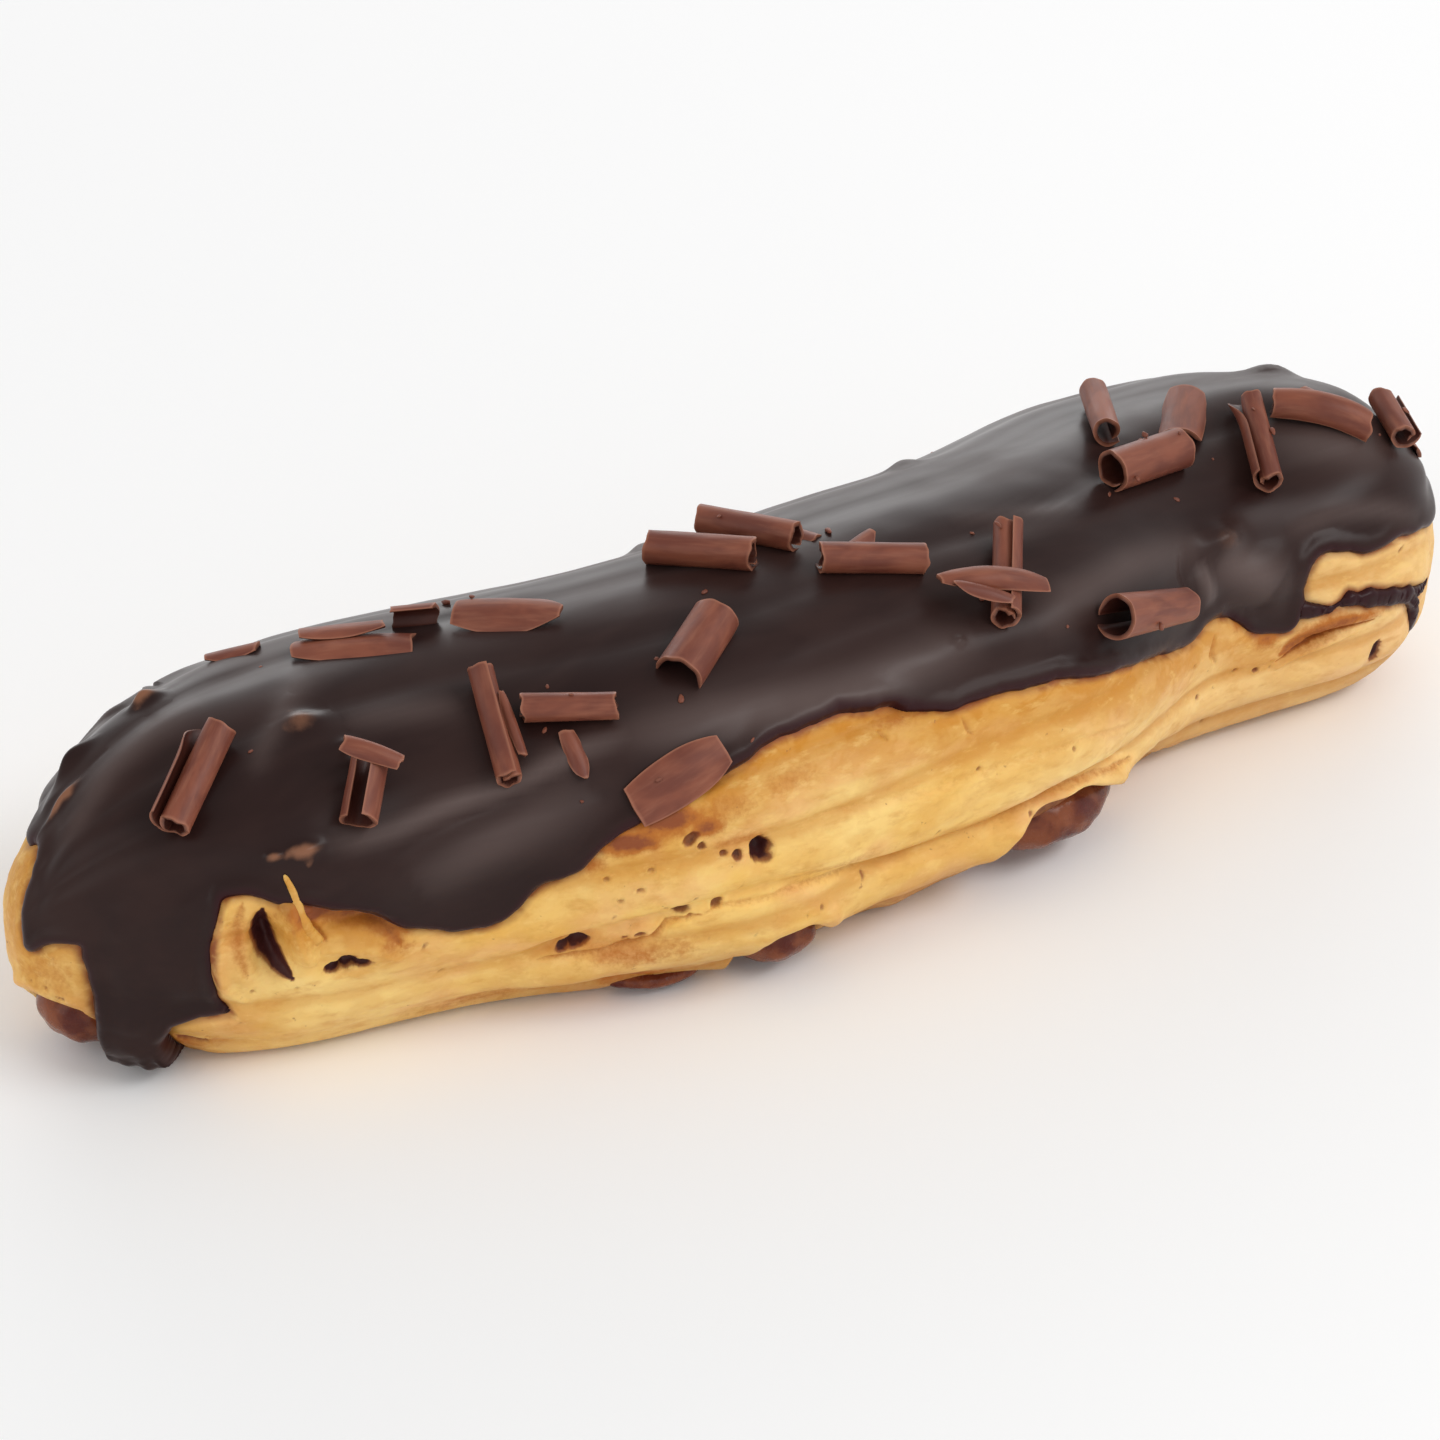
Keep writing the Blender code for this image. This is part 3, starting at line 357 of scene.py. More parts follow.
choux = {
    "cell": 0.49 * mm / fineness,
    "detailCuts": 2,               # the net is three times as fine near pits, grooves and openings
    # degrees: spans of the net round the eclair, and their step where it isn't the cell's
    "netSpans": ((46, 126, None), (126, 234, 4), (234, 314, None), (314, 406, 4)),
    "netRadius": 20 * mm,
    # the solid's net: degrees and count of the spans round the eclair, count of rings, lowest icing
    "solidSpans": ((54, 126, 15), (126, 234, 8), (234, 304, 10), (304, 414, 11)),
    "solidRings": 49,
    "solidLowest": 1.5 * mm,
    "nozzlePoints": 16,
    "lobeHeight": 0.45 * mm,
    "lobeMean": 0.65,
    "lobeSway": 0.5,
    "lobeSwayLength": 24 * mm,
    "lobeFade": 16 * mm,
    "lumps": ((0.55, 13, 1, 0),),  # mm, as rows of waves
    "fadeHeight": 2.5 * mm,
    # mm: place round the side, half length and height where the lobes are nearly smooth; and the share
    # that is taken off
    "calm": (-52, 15, 13, 0.75),
    "creaseDepth": 1.1 * mm,
    "creaseWidth": 0.9 * mm,
    "creaseFade": 8 * mm,
    "rollHeight": 0.7 * mm,
    "rollDrop": 4.2 * mm,
    "rollWidth": 2.2 * mm,
    # mm: place along the eclair, height of the crease
    "creaseLine": (
        (-38, 7.6), (-26, 10.6), (-16, 12.2), (-5, 10.6), (11, 9), (19, 10.6), (34, 7),
    ),
    # mm: place round the side, height, half length, half height, depth
    "dents": (
        (-58.6, 14.4, 1.6, 3.6, 1.5), (-55.2, 14.6, 1.8, 3.4, -0.7), (-60.8, 13.6, 1.2, 3.8, -0.5),
        (-51.2, 11.6, 2.4, 1, 0.8), (-31, 9, 2, 0.9, 0.7), (-14.5, 15.8, 1.3, 1.5, 0.9),
        (48, 9.8, 3, 1, -0.4), (55, 11.4, 5, 0.9, 0.6), (61.8, 7, 1, 1.6, 0.8), (130, 9, 2.4, 1.1, 0.8),
        (176, 10.5, 3, 1.3, 0.8), (205, 8, 2, 1.2, 0.7),
    ),
    # mm: place along; degrees: turn; half length, half turn and depth of a place that sags under the icing
    "sag": (64.5, -36, 7.5, 26, 1.7),
    "bed": 1.4 * mm,
    "bedStart": -1 * mm,
    "bedWidth": 3.5 * mm,
    # finer relief than the solid's, and how uneven pits, grooves, toasted patches and openings are
    "wrinkles": ((0.18, 4, 2.2, 11), (0.12, 1.7, 3, 11), (0.08, 0.9, 2, 11)),
    "crumbly": ((0.14, 0.9, 1, 23), (0.08, 0.4, 1, 29)),
    "torn": ((0.22, 0.8, 1, 37), (0.2, 0.35, 1, 41)),
    "patchy": ((0.9, 1.5, 1 / 0.6, 61), (0.5, 0.6, 1, 67)),
    "mouthWobble": ((0.06, 3.5, 1, 31),),
    # hollows. mm: place round the side, height, half length, half height, depth; then lean in degrees,
    # and how dark it is inside, as painted shade
    "pits": (
        (-52.4, 11.6, 0.8, 0.55, 0.7, 12, 1), (-51.2, 11.9, 0.8, 0.85, 0.8, 0, 1),
        (-49.9, 11.5, 0.9, 0.42, 0.6, -8, 0.95), (-30.6, 8.35, 1, 0.42, 0.6, 12, 0.95),
        (-31.7, 8.1, 0.7, 0.34, 0.5, 14, 0.9), (-14.5, 16, 1, 1.08, 1.2, 0, 1),
        (-16.9, 16.2, 0.5, 0.45, 0.6, 0, 0.7), (-18.2, 16.6, 0.35, 0.3, 0.4, 0, 0.5),
        (-21.1, 18.7, 0.8, 0.5, 0.5, 30, 0.62), (-20.2, 17.9, 0.4, 0.4, 0.4, 0, 0.5),
        (-67.3, 3.7, 1.7, 0.5, 0.9, -6, 0.8), (61.8, 7.2, 0.62, 1.1, 0.5, 8, 1),
        (45.3, 10, 0.25, 0.25, 0.35, 0, 0.5), (47.7, 9.3, 0.35, 0.28, 0.35, 0, 0.5),
        (38.2, 14, 0.25, 0.22, 0.3, 0, 0.35), (40.5, 8.9, 0.3, 0.25, 0.3, 0, 0.4),
        (43.9, 5.1, 0.25, 0.35, 0.3, 0, 0.4), (-22.2, 11.6, 0.8, 0.5, 0.55, -20, 0.62),
        (-18.9, 11.6, 0.6, 0.4, 0.5, 20, 0.55), (-25.5, 9.2, 0.5, 0.3, 0.4, 20, 0.5),
        (-28.4, 15.7, 0.35, 0.25, 0.25, 0, 0.3), (-25.7, 14.4, 0.4, 0.25, 0.25, 0, 0.32),
        (-27.4, 13.6, 0.3, 0.25, 0.25, 0, 0.3), (-24.6, 16.1, 0.3, 0.25, 0.25, 0, 0.28),
        (118, 9, 0.9, 0.4, 0.7, 10, 0.6), (121.5, 8.1, 0.4, 0.35, 0.4, 0, 0.5),
        (163, 13.8, 1.3, 0.5, 0.8, -8, 0.9), (165.2, 13.1, 0.4, 0.3, 0.4, 0, 0.6),
        (171.5, 10.2, 0.4, 0.35, 0.4, 0, 0.5), (198, 8.6, 1, 0.35, 0.6, 6, 0.55),
        (214, 15, 0.7, 0.9, 0.8, 0, 0.9), (216.2, 13.7, 0.4, 0.4, 0.4, 0, 0.6),
        (100, 7.2, 0.45, 0.7, 0.6, 10, 0.6), (-97, 9, 0.5, 0.6, 0.6, 0, 0.6),
    ),
    "pitEdge": (1.3, 0.9),         # where a pit ends, as a share of its size, and how softly
    "pitShade": (1.4, 0.75),
    "pitRim": (0.1, 1.4, 0.3),     # height in mm, place and width
    # grooves and ridges. mm: half width, depth (negative stands proud); how dark and how brown the
    # painted shade in it is; and the points that it runs through, place round the side and height
    "strokes": (
        (1.25, 1.9, 1, 0, ((-58.6, 17.9), (-59, 16.4), (-58.9, 14.9), (-58.3, 13.5), (-57.4, 12.2),
         (-56.2, 11.2))),
        (0.85, -0.7, 0, 0, ((-61.6, 19.2), (-63.2, 17.4), (-63.7, 15), (-63.7, 12.5), (-62.9, 10.3),
         (-60.6, 8.8))),
        (0.95, 0.6, 0, 0.38, ((-60.6, 18.8), (-61.4, 16.6), (-61.4, 13.9), (-60.6, 11.8))),
        (1.15, -1.4, 0, 0, ((-56.9, 19.2), (-55.8, 18.2), (-55.6, 16), (-55, 14), (-54, 12.6))),
        (0.45, 0.5, 0, 0.45, ((-54.6, 17.6), (-53.9, 15.8), (-52.8, 14.4))),
        (1.15, 0.9, 0, 0.75, ((-54.2, 17.4), (-51.5, 16.6), (-49, 15.8), (-47.4, 14.4), (-46.5, 12.8))),
        (0.7, -0.35, 0, 0, ((-54, 13.6), (-51, 13.5), (-48.4, 12.2), (-46.4, 11.2))),
        (0.32, 0.6, 0, 0.4, ((-34, 7.3), (-28.7, 7.4), (-26.3, 8.1), (-24.3, 9), (-23.3, 10.4),
         (-20.1, 10.9))),
        (0.35, 0.5, 0, 0.25, ((-20.1, 10.9), (-18.7, 11.4), (-14, 11), (-10.9, 11.1), (-6.6, 10.4),
         (-2.1, 9.8))),
        (0.4, 0.8, 0, 0.35, ((-2.1, 9.8), (4.8, 9.3), (11.6, 9.3), (18.2, 10.3), (24, 9.6), (30, 8))),
        (0.5, 0.3, 0, 0.12, ((-9, 17.9), (-3.4, 17.2), (3.3, 16.3), (10, 16), (15.6, 16), (21.6, 15.5),
         (29, 13.6))),
        (0.22, 0.3, 0, 0.3, ((7.4, 21.8), (7.9, 20.6), (8.6, 19.8))),
        (0.25, 0.35, 0, 0.3, ((-1.3, 23.2), (-0.6, 22.2))),
        (0.3, 0.5, 0, 0.25, ((41.8, 15.6), (41.2, 13.8), (42.2, 12.4))),
        (0.32, 0.9, 0.35, 0.9, ((50, 9.5), (51.3, 10.1), (53.9, 11), (57.1, 11.7), (60.2, 12))),
        (1.5, 0.2, 0, 0.8, ((50.4, 10.5), (52.6, 11.6), (55.3, 12.4), (58.5, 13))),
        (0.4, -0.5, 0, 0, ((49.6, 8.7), (52, 9.5), (55, 10.4), (59, 11))),
        (0.3, 0.6, 0.2, 0.6, ((126, 12), (132, 8.4), (140, 7.6), (149, 9.2))),
        (0.35, 0.8, 0.2, 0.6, ((158, 9), (168, 7.6), (178, 8.2), (188, 7))),
        (0.3, 0.5, 0, 0.5, ((186, 10.6), (194, 10.8), (204, 12.6))),
        (0.35, 0.6, 0.2, 0.5, ((82, 8.4), (90, 7.2), (98, 8.4), (104, 7.8))),
        (0.35, 0.6, 0, 0.5, ((-88, 12.4), (-94, 11.6), (-101, 12.8))),
    ),
    "strokeShade": (1.25, 0.7),
    # toasted patches, a few of them brown painted shade along creases. mm: place round the side, height, half length,
    # half height; and strength
    "toasts": (
        (-26.4, 19.2, 2.4, 1.1, 1.15), (-22.6, 20.6, 2.6, 1.2, 1.2), (-19.6, 19.6, 1.6, 1, 0.95),
        (-16.6, 17.6, 2.8, 0.7, 0.4), (-29.6, 17.4, 1.6, 0.8, 0.6), (-53.2, 17.6, 2.6, 1.3, 1.25),
        (-50, 16.4, 2.2, 0.9, 0.9), (-47, 14.2, 1.1, 1.6, 0.7), (-27.5, 3.2, 7, 0.9, 0.9),
        (-38, 2.2, 6, 0.8, 0.4), (-6, 12, 5, 0.5, 0.3), (48.6, 12.9, 1.6, 0.9, 0.8), (45, 15.4, 1, 0.8, 0.5),
        (-69, 3, 4, 1.2, 0.5), (52.2, 11, 1.8, 0.8, 0.6), (55.2, 12, 2.6, 0.8, 0.75),
        (58.6, 12.9, 2.4, 0.7, 0.6), (-10.8, 21.8, 2.6, 1.2, 0.3), (1, 23.6, 3, 0.9, 0.4),
        (128, 6, 7, 2, 0.5), (160, 14.5, 4, 1.4, 0.6), (184, 9, 5, 1.6, 0.4), (96, 8, 4, 2, 0.4),
        (-92, 9, 4, 2, 0.4), (210, 10, 5, 2, 0.4), (-25.5, 7.2, 5, 1.2, 0.42), (-18, 20.6, 3.5, 1.3, 0.35),
        (-79.5, 10.8, 3.5, 2.5, 0.24), (-84.5, 17.5, 2.2, 3, 0.2),
    ),
    # mm: place round the side; and how golden the choux is just under the icing there, 0 to 1
    "golden": (
        (-114, 0.6), (-92, 0.8), (-80, 0.75), (-70, 0.4), (-64, 0.3), (-59, 0.55), (-55, 1), (-48, 1),
        (-44, 0.5), (-38, 0.12), (-30, 0.3), (-25, 0.8), (-18, 1), (-8, 1), (6, 1), (20, 0.95), (38, 0.85),
        (46, 0.9), (51, 0.4), (60, 0.15), (72, 0.25), (90, 0.6), (120, 0.9), (150, 0.5), (180, 0.9),
        (224, 0.6),
    ),
    "goldenDrop": 7.6 * mm,
    # mm: place round the side; and how brown the choux is near its foot there, 0 to 1
    "footTan": (
        (-112, 0.6), (-82, 0.5), (-68, 0.6), (-60, 0.15), (-40, 0.15), (-30, 0.55), (-10, 0.7), (10, 0.8),
        (32, 0.8), (44, 0.35), (58, 0.3), (68, 0.6), (100, 0.7), (225, 0.7),
    ),
    "footHeight": (9 * mm, 2.5 * mm),
    "poreCount": 330,
    "poreSeed": 7,
    "poreSize": (0.1 * mm, 0.38 * mm),
    # where the filling oozes out. mm: place round the side, half length and height of the opening
    # and how far the choux is drawn back there
    "mouths": (
        (-80.8, 5.4, 8.2, 3), (-21, 6, 2.4, 1.1), (-10.7, 5, 7.6, 2.6), (20.2, 9.8, 9.6, 2.6),
        (159.7, 6.4, 6.6, 3),
    ),
    "mouthPower": 2.4,
    "mouthRim": 2 * mm,
    "mouthLip": 0.4 * mm,
    # mm: place round the side, half length, height and depth of stretches where the foot is drawn in
    "tucks": ((23.5, 17, 8, 1.6), (32.5, 4.5, 12, 1.6), (-3.2, 4.4, 9, 1.1), (-72, 5, 8, 0.8)),
}

# mm: where the filling oozes out, as place along, sideways, height, half length, half width, half
# height; and its turn in plan in degrees
fillingSpots = (
    (-68, 2, 4.6, 5.2, 4.5, 3.6, 0),
    (-21, -14.3, 1.6, 6, 5.4, 1.6, -4),
    (-10.6, -17.8, 3.9, 4.5, 5.8, 3.4, 6),
    (20.6, -14.6, 5, 9, 7.2, 4, 9),
    (10, 8.4, 4, 6.4, 6.6, 2.8, -5),
)


def lobePattern(points, turn):
    # 1 along the top of each piped lobe, 0 in the groove between two
    sway = choux["lobeSway"] * np.sin(points[..., 0] / choux["lobeSwayLength"])
    return np.abs(np.cos(turn * choux["nozzlePoints"] / 2 + sway))


def tipFade(points):
    # 0 at both tips, where the lobes end
    return ease((body["length"] / 2 - np.abs(points[..., 0])) / choux["lobeFade"])


def lobeRelief(points, turn):
    return 2 * choux["lobeHeight"] * (lobePattern(points, turn) - choux["lobeMean"]) * tipFade(points)


def calmShare(points):
    at, halfLength, top, share = np.array(choux["calm"]) * (mm, mm, mm, 1)
    return share * np.exp(-((sidePlace(points) - at) / halfLength) ** 4) * ease(1.5 * (1 - points[..., 2] / top))


def bigRelief(points, turn):
    # the relief that the solid has too: lobes, crease, foot, folds and lumps
    place, x, height = sidePlace(points), points[..., 0], points[..., 2]
    relief = lobeRelief(points, turn)
    first, last = choux["creaseLine"][0][0] * mm, choux["creaseLine"][-1][0] * mm
    line = smoothThrough(choux["creaseLine"], np.clip(x, first, last))
    strength = ease((x - first) / choux["creaseFade"]) * ease((last - x) / choux["creaseFade"]) * (place == x)
    for rise, drop, width in ((-choux["creaseDepth"], 0, choux["creaseWidth"]),
                              (choux["rollHeight"], choux["rollDrop"], choux["rollWidth"])):
        relief = relief + strength * rise * np.exp(-((line - drop - height) / width) ** 2)
    for *spot, depth in np.array(choux["dents"]) * mm:
        relief = relief - depth * np.exp(-oval(place, height, *spot))
    relief = relief + mm * waves(points, choux["lumps"])
    return relief * ease(height / choux["fadeHeight"])


def bedShare(reach):
    # how far the choux is sunk under the icing, 0 to 1
    return ease((reach - choux["bedStart"]) / choux["bedWidth"])


def sag(points, turn):
    # how far choux and icing are sunk together
    *spot, depth = choux["sag"]
    return depth * mm * np.exp(-oval(points[..., 0] / mm, np.degrees(turn), *spot))


def strokeGap(place, height, knots, least):
    # distance to a line through the knots, and a taper towards both its ends
    knots = np.array(knots) * mm
    lengths = np.hypot(*np.diff(knots, axis=0).T)
    starts = np.concatenate([[0], np.cumsum(lengths)])
    nearest = np.full(place.shape, np.inf)
    run = np.zeros(place.shape)
    for start, end, before, length in zip(knots, knots[1:], starts, lengths):
        gap, share = segmentDistance(place, height, *start, *end)
        closer = gap < nearest
        nearest = np.where(closer, gap, nearest)
        run = np.where(closer, (before + share * length) / starts[-1], run)
    return nearest, np.sqrt(np.maximum(4 * run * (1 - run), least))


def fineRelief(points, reach):
    # wrinkles, pits, grooves and pores; the painted shade in them, dark and brown; and how toasted each point is
    place, height = sidePlace(points), points[..., 2]
    relief = mm * waves(points, choux["wrinkles"])
    crumble = 1 + waves(points, choux["crumbly"])
    torn = crumble + waves(points, choux["torn"])
    dark = np.zeros(place.shape)
    toastAndShade = np.zeros(place.shape)
    rimHeight, rimPlace, lipShadeWidth = choux["pitRim"]
    for at, level, halfLength, halfHeight, depth, lean, shade in choux["pits"]:
        across, up = place - at * mm, height - level * mm
        c, s = math.cos(math.radians(lean)), math.sin(math.radians(lean))
        radius = np.hypot((across * c + up * s) / (halfLength * mm), (up * c - across * s) / (halfHeight * mm))
        relief -= depth * mm * within(radius * torn, *choux["pitEdge"])
        relief += rimHeight * mm * np.exp(-((radius - rimPlace) / lipShadeWidth) ** 2)
        # painted shade inside the pit
        dark = np.maximum(dark, shade * within(radius * torn, *choux["pitShade"]))
    for halfWidth, depth, shade, creaseShade, knots in choux["strokes"]:
        gap, taper = strokeGap(place, height, knots, 0.04)
        across = gap * crumble / (halfWidth * mm * taper)
        relief -= depth * mm * taper * np.exp(-across ** 2)
        # painted shade in the groove
        dark = np.maximum(dark, shade * within(across, *choux["strokeShade"]))
        # brown painted shade along the groove
        toastAndShade = np.maximum(toastAndShade, creaseShade * np.exp(-across ** 2))
    dice = random.Random(choux["poreSeed"])
    bare = np.flatnonzero((reach < -0.8 * mm) & (height > 1.5 * mm))
    low, high = choux["poreSize"]
    for _ in range(choux["poreCount"]):
        at = bare[dice.randrange(len(bare))]
        size = low + (high - low) * dice.random() ** 3
        near = np.flatnonzero((np.abs(place - place[at]) < 2 * size) & (np.abs(height - height[at]) < 2 * size))
        radius = np.linalg.norm(points[near] - points[at], axis=1) / size
        relief[near] -= 0.8 * size * ease(1.4 - radius)
        # painted shade in the pore
        dark[near] = np.maximum(dark[near], 0.45 * size / high * ease(1.3 - radius))
    uneven = np.maximum(1 + waves(points, choux["patchy"]), 0.3)
    for *spot, strength in choux["toasts"]:
        toastAndShade = np.maximum(toastAndShade, strength * np.exp(-oval(place, height, *np.array(spot) * mm) * uneven))
    return relief, dark, toastAndShade


def nearDetail(points):
    # whether each point is close to a pit, a groove or the rim of an opening
    place, height = sidePlace(points), points[:, 2]
    close = np.zeros(len(points), bool)
    for at, level, halfLength, halfHeight, *rest in choux["pits"]:
        close |= np.hypot(place - at * mm, height - level * mm) < (max(halfLength, halfHeight) + 0.5) * mm
    for halfWidth, *rest, knots in choux["strokes"]:
        close |= strokeGap(place, height, knots, 0)[0] < (1.2 * halfWidth + 0.4) * mm
    for at, halfLength, top, depth in np.array(choux["mouths"]) * mm:
        close |= np.abs(1 - np.hypot((place - at) / halfLength, height / top)) * min(halfLength, top) < 1.3 * mm
    return close & (height > 0.02 * mm)


def mouthRelief(points):
    # choux drawn back where the filling oozes out, with a lip over each opening; and its painted shade
    place, height, power = sidePlace(points), points[:, 2], choux["mouthPower"]
    relief = np.zeros(len(points))
    inside = np.zeros(len(points))
    wobble = 1 + waves(points, choux["mouthWobble"])
    for at, halfLength, top, depth in np.array(choux["mouths"]) * mm:
        radius = (np.abs((place - at) / halfLength) ** power + np.abs(height / top) ** power) ** (1 / power)
        far = (1 - radius * wobble) * min(halfLength, top)
        drawn = ease(far / choux["mouthRim"])
        lip = choux["mouthLip"] * np.exp(-((far + 0.6 * mm) / (0.6 * mm)) ** 2)
        lip *= ease(2.2 - 2 * np.abs(place - at) / halfLength)
        relief += lip * ease((height - 1.5 * mm) / (2.5 * mm)) - depth * drawn
        inside = np.maximum(inside, drawn)
    for at, halfLength, top, depth in np.array(choux["tucks"]) * mm:
        relief -= depth * np.exp(-((place - at) / halfLength) ** 4) * ease(1 - height / top)
    return relief, inside


def originShift():
    # from the body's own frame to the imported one: the same net as the solid's, against its box
    spans = [np.linspace(a, b, count, endpoint=False) for a, b, count in choux["solidSpans"]]
    rings = choux["solidRings"]
    places = -np.cos(np.pi * np.arange(1, rings) / rings) * body["length"] / 2
    points, turn, triangles = bodyNet(places, np.radians(np.concatenate(spans)))
    held = icingOutline["wander"], icingOutline["lowest"]
    icingOutline["wander"], icingOutline["lowest"] = (), choux["solidLowest"]
    covered = bedShare(icingReach(points))
    icingOutline["wander"], icingOutline["lowest"] = held
    rise = bigRelief(points, turn) * (1 - covered) - choux["bed"] * covered
    placed = points + netNormals(points, triangles) * rise[:, None]
    low, high = np.array(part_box("choux"))[:, :2]
    shift = np.append(low - placed.min(axis=0)[:2], 0)
    miss = high - placed.max(axis=0)[:2] - shift[:2]
    print("origin shift in mm", np.round(shift / mm, 3), "left over", np.round(miss / mm, 3))
    return shift


shift = originShift()


def makePiece(name, points, faces, material, fields, sharp=None):
    # a piece of the eclair from points in the body's frame, with its named fields as attributes
    mesh = bpy.data.meshes.new(name)
    mesh.from_pydata((points + shift).tolist(), [], faces if isinstance(faces, list) else faces.tolist())
    mesh.validate()
    for field, values in fields.items():
        attribute = mesh.attributes.new(field, "FLOAT", "POINT")
        attribute.data.foreach_set("value", np.asarray(values, dtype=np.float32))
    mesh.materials.append(material)
    mesh.shade_smooth()
    if sharp:
        mesh.set_sharp_from_angle(angle=math.radians(sharp))
    piece = bpy.data.objects.new(name, mesh)
    bpy.context.scene.collection.objects.link(piece)
    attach(piece, "root")
    print(name, len(faces), "faces")
    return piece


def chouxTurns():
    # the net's lines round the eclair: close on the two bare flanks, wide on the top and the base
    fine = math.degrees(choux["cell"] / choux["netRadius"])
    return np.radians(np.concatenate([
        np.linspace(start, end, int((end - start) / (step or fine)), endpoint=False)
        for start, end, step in choux["netSpans"]]))


def buildChoux(material):
    points, turn, triangles = tubeNet(choux["cell"], chouxTurns(), nearDetail, choux["detailCuts"])
    reach, height = icingReach(points), points[:, 2]
    covered = bedShare(reach)
    fine, dark, toastAndShade = fineRelief(points, reach)
    fade = ease(height / choux["fadeHeight"])
    bare = (1 - ease((reach - 0.2 * mm) / (1.6 * mm))) * fade
    calm = calmShare(points)
    drawnBack, mouth = mouthRelief(points)
    rise = bigRelief(points, turn) * (1 - covered) - choux["bed"] * covered + fine * bare
    rise = rise - calm * fade * (1 - covered) * lobeRelief(points, turn) - covered * sag(points, turn)
    rise = rise + drawnBack * ease((height - 0.05 * mm) / (0.6 * mm))
    placed = points + netNormals(points, triangles) * rise[:, None]
    placed[:, 2] = np.where(height > 0, np.maximum(placed[:, 2], 0), 0)
    place = sidePlace(points)
    high, low = choux["footHeight"]
    piece = makePiece("chouxShell", placed, triangles, material, {
        "reach": reach / mm,
        # dark: painted shade in pits, grooves and pores, and in the openings where the filling shows
        "dark": np.maximum(dark * bare, 0.6 * mouth),
        # toast: real toasting, and brown painted shade along creases
        "toastAndShade": toastAndShade,
        "golden": tableAt(choux["golden"], place) * ease(1 + reach / choux["goldenDrop"]),
        # painted shade in the grooves between the piped lobes
        "lobeGrooveShade": within(lobePattern(points, turn), 0.55, 0.4) * (1 - calm) * tipFade(points),
        "foot": tableAt(choux["footTan"], place) * within(height, high, high - low),
    })
    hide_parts("choux")
    return piece


# Node helpers and the effects that several finishes share

def plug(tree, value, socket):
    if isinstance(value, bpy.types.NodeSocket):
        tree.links.new(value, socket)
    elif value is not None:
        socket.default_value = value


def addNode(tree, kind, given, output, **settings):
    # a shader node with its settings, and values or sockets for its inputs; returns one output
    node = tree.nodes.new("ShaderNode" + kind)
    for label, value in settings.items():
        setattr(node, label, value)
    for socket, value in given.items():
        plug(tree, value, node.inputs[socket])
    return node.outputs[output]


def compute(tree, operation, first, second):
    return addNode(tree, "Math", {0: first, 1: second}, 0, operation=operation)


def times(tree, first, second):
    return compute(tree, "MULTIPLY", first, second)


def spread(tree, value, low, high, toLow=0, toHigh=1):
    given = dict(enumerate((value, low, high, toLow, toHigh)))
    return addNode(tree, "MapRange", given, 0, interpolation_type="SMOOTHSTEP")


def blend(tree, factor, first, second):
    first, second = ((*shade, 1) if isinstance(shade, tuple) else shade for shade in (first, second))
    return addNode(tree, "Mix", {0: factor, 6: first, 7: second}, 2, data_type="RGBA")


def layered(tree, look, first, layers):
    # shades of a look laid over each other, each with its mask
    colour = look[first]
    for mask, shade in layers:
        colour = blend(tree, mask, colour, look[shade])
    return colour


def field(tree, name):
    return addNode(tree, "Attribute", {}, "Fac", attribute_name=name)


def noiseTexture(tree, vector, scale, detail, roughness, distortion=0):
    return addNode(tree, "TexNoise", {"Vector": vector, "Scale": scale, "Detail": detail, "Roughness": roughness,
                                      "Distortion": distortion}, "Fac")


def bumpNormal(tree, height, strength, distance, before=None):
    return addNode(tree, "Bump", {"Strength": strength, "Distance": distance * mm, "Height": height,
                                  "Normal": before}, "Normal")


def objectPlace(tree):
    return addNode(tree, "TexCoord", {}, "Object")


def stretched(tree, vector, share):
    return addNode(tree, "VectorMath", {0: vector, 1: (share, 1, 1)}, 0, operation="MULTIPLY")


def newGroup(name, inputs, outputs):
    tree = bpy.data.node_groups.new(name, "ShaderNodeTree")
    tree.interface.new_socket("Vector", in_out="INPUT", socket_type="NodeSocketVector")
    for label, value in inputs:
        socket = tree.interface.new_socket(label, in_out="INPUT", socket_type="NodeSocketFloat")
        socket.default_value = value
    for label in outputs:
        tree.interface.new_socket(label, in_out="OUTPUT", socket_type="NodeSocketFloat")
    return tree, tree.nodes.new("NodeGroupInput").outputs, tree.nodes.new("NodeGroupOutput").inputs


def makeGrainGroup():
    # fine roughness of a broken or dried surface, and small flecks in it
    tree, given, out = newGroup("fineGrain", (("Size mm", 0.5), ("Fleck share", 0.3)), ("Height", "Flecks"))
    scale = compute(tree, "DIVIDE", 1000, given["Size mm"])
    coarse = noiseTexture(tree, given["Vector"], scale, 4, 0.62)
    fine = noiseTexture(tree, given["Vector"], times(tree, scale, 2.7), 2, 0.6)
    plug(tree, compute(tree, "ADD", times(tree, coarse, 0.7), times(tree, fine, 0.3)), out["Height"])
    spots = noiseTexture(tree, given["Vector"], times(tree, scale, 0.45), 3, 0.7)
    level = compute(tree, "SUBTRACT", 0.8, times(tree, given["Fleck share"], 0.25))
    plug(tree, spread(tree, spots, level, compute(tree, "ADD", level, 0.06)), out["Flecks"])
    return tree


def makeMottleGroup():
    # slow drift between two shades
    tree, given, out = newGroup("softMottle", (("Size mm", 6), ("Contrast", 1)), ("Mask",))
    scale = compute(tree, "DIVIDE", 1000, given["Size mm"])
    drift = noiseTexture(tree, given["Vector"], scale, 3, 0.55, 0.4)
    half = compute(tree, "DIVIDE", 0.16, given["Contrast"])
    low = compute(tree, "SUBTRACT", 0.5, half)
    plug(tree, spread(tree, drift, low, compute(tree, "ADD", 0.5, half)), out["Mask"])
    return tree


